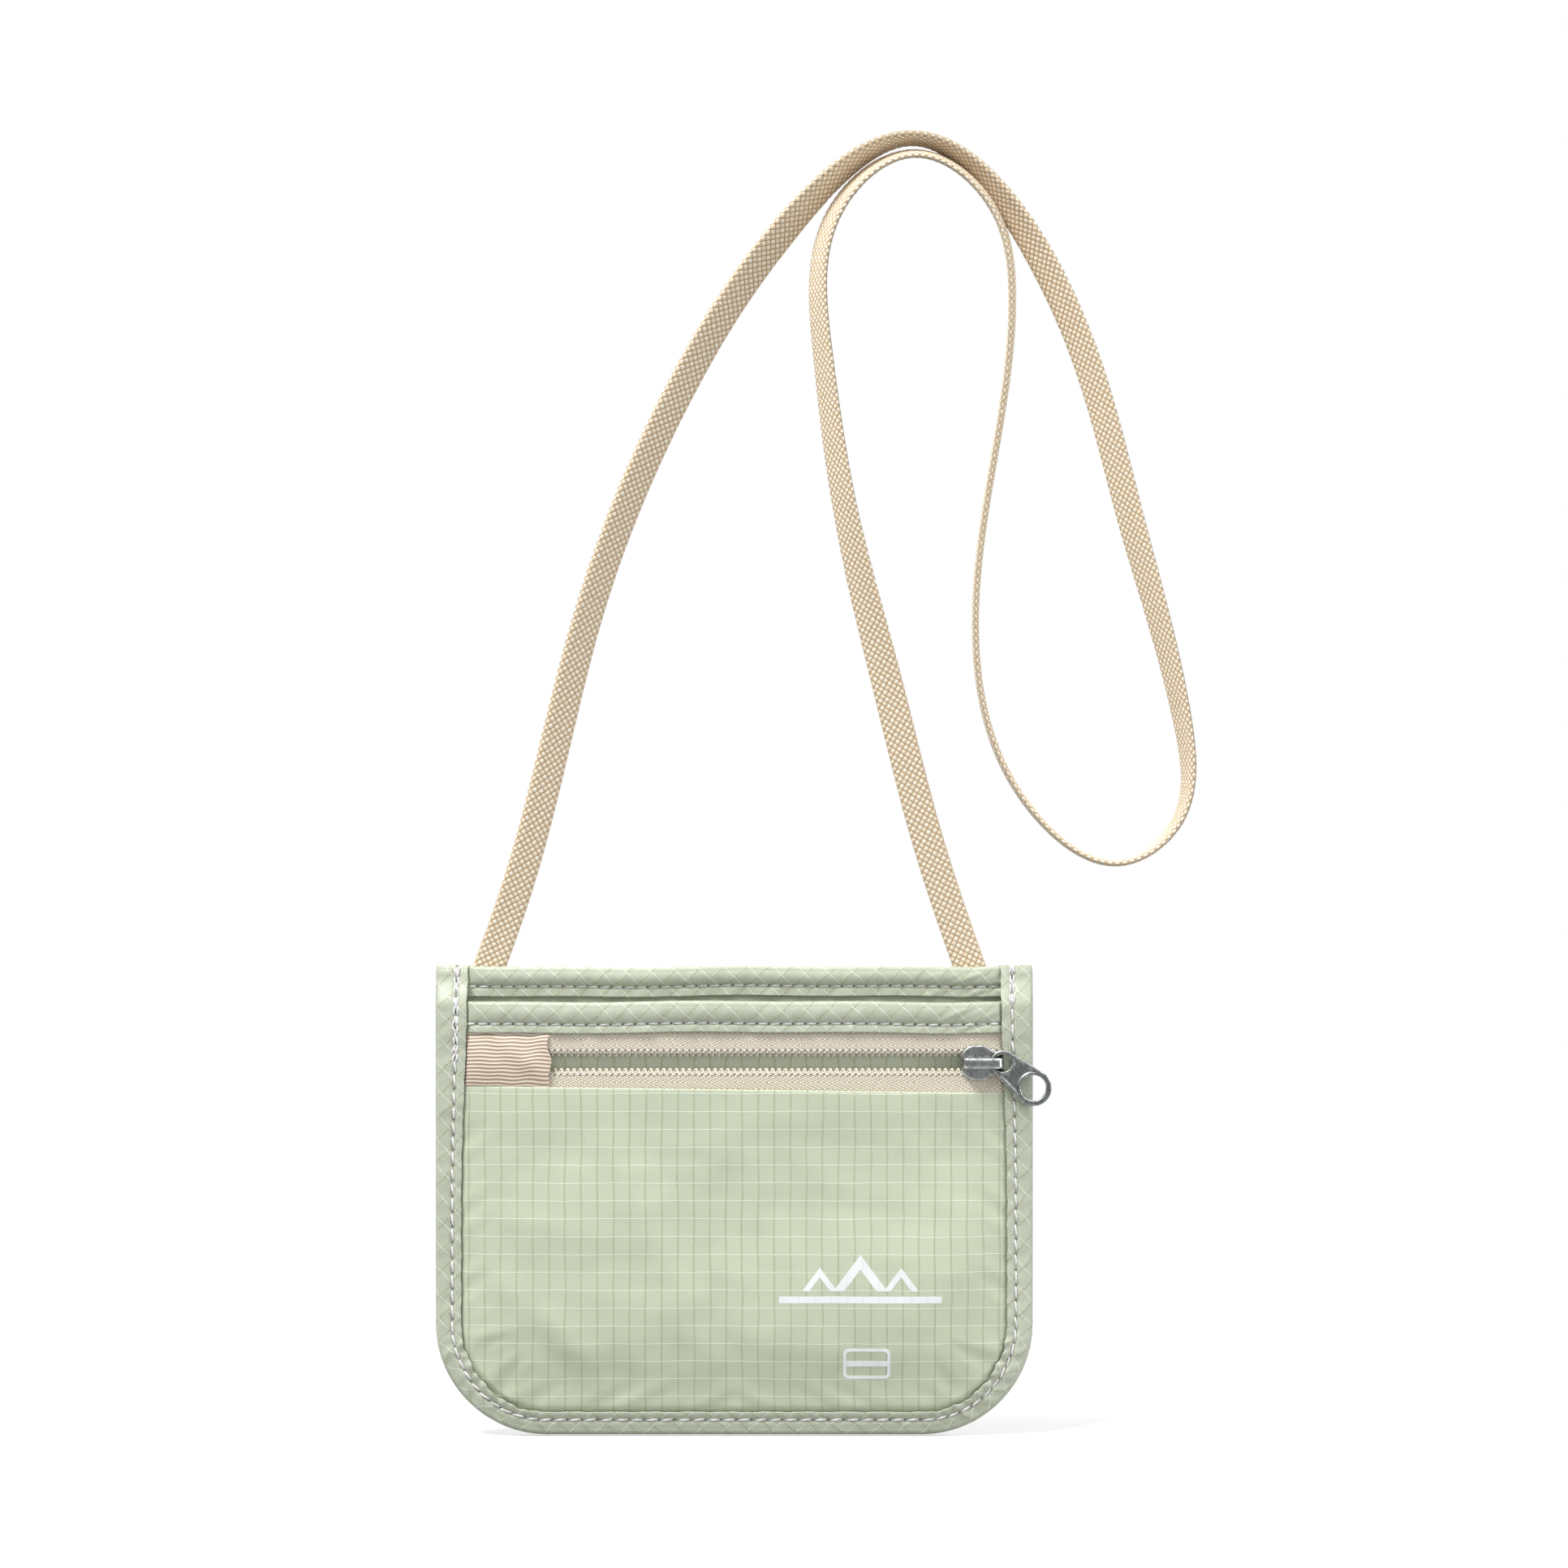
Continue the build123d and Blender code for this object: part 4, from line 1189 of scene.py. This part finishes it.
def make_coil(half_name, side):
    """One filament wound in a flattened spiral, its heads standing past the tape's edge."""
    name = f"{half_name}_zip_coil"
    low, high = box_mm(name)
    radius = 0.30
    inner, outer = (low[2], high[2]) if side > 0 else (high[2], low[2])
    middle = (inner + outer) / 2
    half = abs(outer - inner) / 2 - radius
    level = (low[1] + high[1]) / 2
    height = (high[1] - low[1]) / 2 - radius
    reach = HALF_WIDTH - 5.5
    turns = 2 * reach / COIL_PITCH
    angle = np.linspace(0, 2 * np.pi * turns, int(turns * 18))
    x = -reach + COIL_PITCH * angle / (2 * np.pi) + (COIL_PITCH / 2 if side > 0 else 0)
    line = together(x, level + height * np.sin(angle), middle - side * half * np.cos(angle))
    split = int(np.searchsorted(x, ZIP_END_X))
    for part, suffix in ((line[: split + 2], "_filament_end"), (line[split - 1 :], "_filament")):
        piece = tube_piece(name + suffix, [part], radius, 8, COIL, bluntness=4000)
        finish_zip_part(piece, name, "zip_coil", closes=suffix == "_filament")


def make_coil_thread(half, side):
    """The close lockstitch that holds the coil, along the tape's edge."""
    name = f"{half}_coil_thread"
    low, high = box_mm(f"{half}_zip_tape")
    first = math.ceil((TAB_HIGH[0] - 2.0) / COIL_PITCH) + 0.5
    places = np.arange(first * COIL_PITCH, HALF_WIDTH - 7.5, COIL_PITCH)
    z = (low if side > 0 else high)[2] + side * COIL_SEAM
    for part, suffix in ((places[places < ZIP_END_X], "_row_end"), (places[places >= ZIP_END_X], "_row")):
        points = [np.array([x, TAPE_FRONT - 0.10, z]) for x in part]
        directions = turned([np.array([1.0, 0.0, 0.0])] * len(part), np.full(len(part), -6.0 * side))
        lines = stitch_lines(points, directions, COIL_PITCH * 0.72, 0.10, 1)
        piece = tube_piece(name + suffix, lines, 0.15, 6, THREAD, ply=0.1)
        finish_zip_part(piece, name, "thread", closes=suffix == "_row")


def make_tab():
    """Ribbed ribbon folded over the zip's closed end, its right edge a soft fold."""
    left, right = TAB_LOW[0], TAB_HIGH[0]
    low, high = TAB_LOW[2] - 0.2, TAB_HIGH[2] + 0.6
    z = np.linspace(low, high, 96)
    share = np.linspace(0, 1, 48)
    grid_share, grid_z = np.meshgrid(share, z)
    edge = right + 0.55 * ripple(z, 61, (11.0, 6.0))[:, None]
    grid_x = left + (edge - left) * grid_share
    droop = -0.7 * smooth((grid_share - 0.45) / 0.55) * smooth((ZIP_Z - grid_z) / 8)
    warp = 0.30 * ripple(grid_x - 0.4 * grid_z, 62, (17.0, 7.0)) * smooth(grid_share * 2.2 - 0.2)
    rib = 1 - pulse(grid_z, RIB_PITCH)
    buckle = arch((grid_z - low) / (high - low)) ** 1.2
    swell = 0.95 * buckle * smooth(grid_share / 0.3)
    swell = swell * (1 + 0.25 * ripple(grid_x + grid_z, 63, (13.0, 9.0)))
    under_hem = 0.35 * smooth((grid_z - (DIVIDER_HEM_LOW[2] - 1.6)) / 1.4)
    under_panel = 0.6 * smooth((PANEL_HIGH[2] + 2.0 - grid_z) / 1.6)
    level = TAB_HIGH[1] + 0.02 + 0.14 * rib + swell - under_hem - under_panel
    level = tucked(level, grid_x, grid_z)
    face = together(grid_x, level, grid_z + droop + warp)
    rolls = rolled(face[:, -1], 0, 0.30, 0.28, (35, 70, 105, 140, 180), 4.0)
    outer = np.concatenate([face, rolls.transpose(1, 0, 2)], axis=1)
    across = np.concatenate([grid_x, edge + np.array([[0.2, 0.4, 0.6, 0.8, 1.0, 5.0]])], axis=1)
    uv = together(across, z[:, None])
    piece = shell_piece("zip_end_tab_ribbon", outer, uv, 0.14, GROSGRAIN)
    finish(piece, "grosgrain", "zip_end_tab")


# ---- Strap --------------------------------------------------------------------------------------
STRAP_WIDTH = 7.6
STRAP_THICKNESS = 1.7
TACK_STITCHES = 13
TACK_PITCH = 0.42
TACK_SLOPE = 0.275
# Stations along the strap as it lies: (x, z, twist), as in the CAD's own strap.
STRAP_STATIONS = (
    (-58.6, 52.0, 0), (-50.9, 73.9, 15), (-33.3, 140.7, 30), (-11.0, 193.5, 27), (10.8, 226.5, 32),
    (42.3, 249.0, 80), (71.6, 221.7, 36), (93.1, 159.7, 41), (105.2, 112.1, 64), (103.6, 88.2, 82),
    (91.0, 79.2, 88), (70.5, 90.5, 88), (57.0, 125.0, 88), (58.6, 159.7, 88), (65.2, 212.0, 84),
    (60.8, 232.5, 80), (42.3, 245.4, 77), (24.0, 232.5, 65), (20.6, 200.0, 59), (26.5, 159.7, 46),
    (35.8, 121.6, 15), (45.7, 83.4, 8), (56.2, 52.0, 0),
)


def cubic_through(knots, values, places):
    """A natural cubic curve through values at knots, read off at places."""
    gaps = np.diff(knots)
    count = len(knots)
    matrix = np.eye(count)
    right = np.zeros_like(values)
    for i in range(1, count - 1):
        matrix[i, i - 1 : i + 2] = gaps[i - 1], 2 * (gaps[i - 1] + gaps[i]), gaps[i]
        slopes = np.diff(values[i - 1 : i + 2], axis=0) / gaps[i - 1 : i + 1, None]
        right[i] = 6 * (slopes[1] - slopes[0])
    bend = np.linalg.solve(matrix, right)
    i = np.clip(np.searchsorted(knots, places) - 1, 0, count - 2)
    h, a, b = gaps[i][:, None], (knots[i + 1] - places)[:, None], (places - knots[i])[:, None]
    return (
        (bend[i] * a**3 + bend[i + 1] * b**3) / (6 * h)
        + (values[i] / h - bend[i] * h / 6) * a
        + (values[i + 1] / h - bend[i + 1] * h / 6) * b
    )


def strap_line(step):
    """Even points along the strap's centre, with its twist in radians."""
    stations = np.array(STRAP_STATIONS, float)
    knots = distance_along(stations[:, :2])
    dense = np.linspace(0, knots[-1], 6000)
    line = cubic_through(knots, stations[:, :2], dense)
    twist = np.interp(dense, knots, stations[:, 2])
    # Both ends run straight on to where they are sewn.
    rises = line[0] - line[1], line[-1] - line[-2]
    floor_z = STRAP_END_LOW[2]
    tails = [end + rise * (floor_z - end[1]) / rise[1] for end, rise in zip(line[[0, -1]], rises)]
    line = np.concatenate([[tails[0]], line, [tails[1]]])
    kernel = np.hanning(201)
    padded = np.pad(twist, 100, mode="edge")
    twist = np.convolve(padded, kernel / kernel.sum(), mode="valid")
    twist = np.pad(twist, 1, mode="edge")
    length = distance_along(line)
    even = np.arange(0, length[-1], step)
    x, z, twist = (np.interp(even, length, values) for values in (*line.T, twist))
    return together(x, z), np.radians(twist), even


def braid_relief(along, around):
    """Height of the braid's crossing strands, 0 in the gaps and 1 on a strand's crown."""
    rising = along / BRAID_ALONG + around / BRAID_AROUND
    falling = along / BRAID_ALONG - around / BRAID_AROUND
    a, b = rising % 1, falling % 1
    over = (np.floor(rising) + np.floor(falling)) % 2 < 1
    crown_a = np.sin(np.pi * a)
    crown_b = np.sin(np.pi * b)
    return np.where(over, crown_b * (0.6 + 0.4 * crown_a), crown_a * (0.6 + 0.4 * crown_b))


def make_strap():
    """The flat braid, from one sewn end over the loop to the other."""
    line, twist, distance = strap_line(BRAID_ALONG / 4)
    around_count = 4 * BRAID_CELLS
    share = np.arange(around_count) / around_count
    # The section is a flat oval with full edges.
    angle = share * 2 * np.pi
    half_w, half_t = STRAP_WIDTH / 2 - 0.12, STRAP_THICKNESS / 2 - 0.12
    power = 0.55
    section_w = half_w * np.sign(np.cos(angle)) * np.abs(np.cos(angle)) ** power
    section_t = half_t * np.sign(np.sin(angle)) * np.abs(np.sin(angle)) ** power
    closed = together(np.append(section_w, section_w[0]), np.append(section_t, section_t[0]))
    girth = distance_along(closed)
    even = np.linspace(0, girth[-1], around_count + 1)[:-1]
    section_w, section_t = (np.interp(even, girth, values) for values in closed.T)
    around = even / girth[-1] * BRAID_CELLS * BRAID_AROUND
    normal_w = np.roll(section_t, 1) - np.roll(section_t, -1)
    normal_t = np.roll(section_w, -1) - np.roll(section_w, 1)
    size = np.hypot(normal_w, normal_t)
    normal_w, normal_t = -normal_w / size, -normal_t / size
    relief = 0.22 * braid_relief(distance[:, None], around[None, :]) - 0.05
    across_w = section_w[None, :] + normal_w[None, :] * relief
    across_t = section_t[None, :] + normal_t[None, :] * relief
    along = unit(np.gradient(line, axis=0))
    side = together(-along[:, 1], along[:, 0])
    flat_part = (STRAP_WIDTH - STRAP_THICKNESS) / 2 * np.sin(twist)
    level = STRAP_END_LOW[1] + STRAP_THICKNESS / 2 + flat_part
    cos, sin = np.cos(twist)[:, None], np.sin(twist)[:, None]
    # Across the strap, its width turns towards the front as it twists, and its thickness with it.
    in_plane = across_w * cos - across_t * sin
    forward = across_w * sin + across_t * cos
    x = line[:, None, 0] + side[:, None, 0] * in_plane
    z = line[:, None, 1] + side[:, None, 1] * in_plane
    points = together(x, level[:, None] + forward, z)
    rows = len(line)
    faces = grid_faces(rows, around_count, wrap=True).tolist()
    faces.append(list(range(around_count)))
    faces.append(list(range((rows - 1) * around_count, rows * around_count)))
    piece = add_piece("neck_strap_braid", points, faces, together(distance[:, None], around), BRAID)
    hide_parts("neck_strap", "left_strap_end", "right_strap_end")
    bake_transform(piece)


def make_bar_tacks():
    """Dense zigzag stitching that holds the strap's ends to the back of the rear hem."""
    low, high = box_mm("strap_bar_tacks")
    line, _, _ = strap_line(1.0)
    lines = []
    for root, lean in ((line[0], line[2] - line[0]), (line[-1], line[-3] - line[-1])):
        for row in (low[2] + 0.55, high[2] - 0.55):
            centre = root[0] + (row - root[1]) * lean[0] / lean[1]
            for index in range(TACK_STITCHES):
                x = centre + (index - TACK_STITCHES // 2) * TACK_PITCH
                slope = TACK_SLOPE if index % 2 else -TACK_SLOPE
                direction = unit(np.array([slope, 0.0, 1.0]))
                point = np.array([x, low[1] + 0.05, row])
                lines += stitch_lines([point], [direction], 1.5, 0.16, -1)
    make_thread("strap_bar_tack_thread", lines, 0.19, "strap_bar_tacks")


# ---- Metal --------------------------------------------------------------------------------------
def finish_metal():
    """The slider, its bridge and the pull keep their CAD shapes."""
    for node, material in METALS.items():
        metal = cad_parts[node]
        metal.data.materials.clear()
        metal.data.materials.append(material)


# ---- Studio -------------------------------------------------------------------------------------
LIGHT_AIM = (0, 0, 0.05)
LAMPS = {  # place, size and power
    "key": ((-0.42, -0.38, 1.00), 0.38, 13.8),
    "fill": ((0.90, -0.35, 0.15), 0.6, 3.4),
    "rear": ((0.2, 0.9, 0.8), 0.9, 6.0),
}
FLOOR_RADIUS = 0.45
FLOOR_GAP = 0.3 * MM
LENS, SENSOR = 100, 36
FIELD = 1.207  # the picture's height, against the object's
AIM_OFFSET = (-0.0075, -0.0002)  # how far right and up of the object's centre the camera looks


def light_world(scene):
    """White behind everything, and soft light that grows upwards."""
    world = bpy.data.worlds.new("studio")
    scene.world = world
    world.use_nodes = True
    nodes = Nodes(world.node_tree)
    up = nodes.part(nodes.add("TexCoord", output="Generated"), 2)
    # Mirror-like parts see a dark room with a bright top, so their rims and rounds catch the light.
    strength = nodes.add("Mix", {
        0: nodes.add("LightPath", output="Is Glossy Ray"),
        2: up.ramp(-0.7, 0.8, 0.08, 0.68),
        3: up.ramp(-0.1, 0.75, 0.16, 1.7),
    })
    light = nodes.add("Background", {"Color": (0.97, 0.985, 1.0, 1), "Strength": strength})
    shown = nodes.add("Background", {"Color": (1, 1, 1, 1), "Strength": 1.0})
    seen = nodes.add("LightPath", output="Is Camera Ray")
    surface = nodes.add("MixShader", {0: seen, 1: light, 2: shown})
    nodes.put(nodes.tree.nodes["World Output"].inputs["Surface"], surface)


def floor_material():
    """Pale and matt. It glows towards the camera only, so it doesn't light the pouch from below."""
    surface = Surface("studio_floor", roughness=0.9, specular=0.1)
    seen = surface.add("LightPath", output="Is Camera Ray")
    surface.color(surface.mix(seen, (160, 160, 160), (250, 250, 250)))
    distance = surface.add("VectorMath", {0: surface.place()}, "Value", operation="LENGTH")
    fade = distance.ramp(0.06, 0.36, 0.45, 1.0) * seen
    matt = Value(surface, surface.shader.outputs[0])
    blend = surface.add("MixShader", {0: fade, 1: matt, 2: surface.add("Emission")})
    surface.put(surface.tree.nodes["Material Output"].inputs["Surface"], blend)
    return surface.material


def make_studio():
    """A pale floor, soft light from above and in front, and the front-on camera."""
    scene = bpy.context.scene
    scene.view_settings.view_transform = "Standard"
    light_world(scene)
    for name, (place, size, power) in LAMPS.items():
        lamp = bpy.data.lights.new(name, "AREA")
        lamp.size = size
        lamp.energy = power
        holder = bpy.data.objects.new(name, lamp)
        holder.location = place
        aim = Vector(LIGHT_AIM) - Vector(place)
        holder.rotation_euler = aim.to_track_quat("-Z", "Y").to_euler()
        scene.collection.objects.link(holder)

    bpy.ops.mesh.primitive_circle_add(vertices=96, radius=FLOOR_RADIUS, fill_type="NGON")
    floor = bpy.context.object
    floor.name = "floor"
    floor.location = (0, 0, BOTTOM_Z * MM - FLOOR_GAP)
    floor.data.materials.append(floor_material())

    lens = bpy.data.cameras.new("camera")
    lens.lens = LENS
    lens.sensor_width = SENSOR
    camera = bpy.data.objects.new("camera", lens)
    low, high = (np.array(corner) for corner in cad_bounds)
    centre = (low + high) / 2
    away = (high[2] - low[2]) * FIELD * LENS / SENSOR
    camera.location = (centre[0] + AIM_OFFSET[0], -away, centre[2] + AIM_OFFSET[1])
    camera.rotation_euler = (math.pi / 2, 0, 0)
    scene.collection.objects.link(camera)
    scene.camera = camera


make_walls()
make_front_panel()
make_front_print()
make_edge_binding()
make_edge_thread()
make_end_tacks()
for kind in HEMS:
    make_hem(kind)
    make_hem_thread(kind)
for half, side in ZIP_SIDES.items():
    make_tape(half, side)
    make_coil(half, side)
    make_coil_thread(half, side)
make_tab()
make_strap()
make_bar_tacks()
finish_metal()
make_studio()
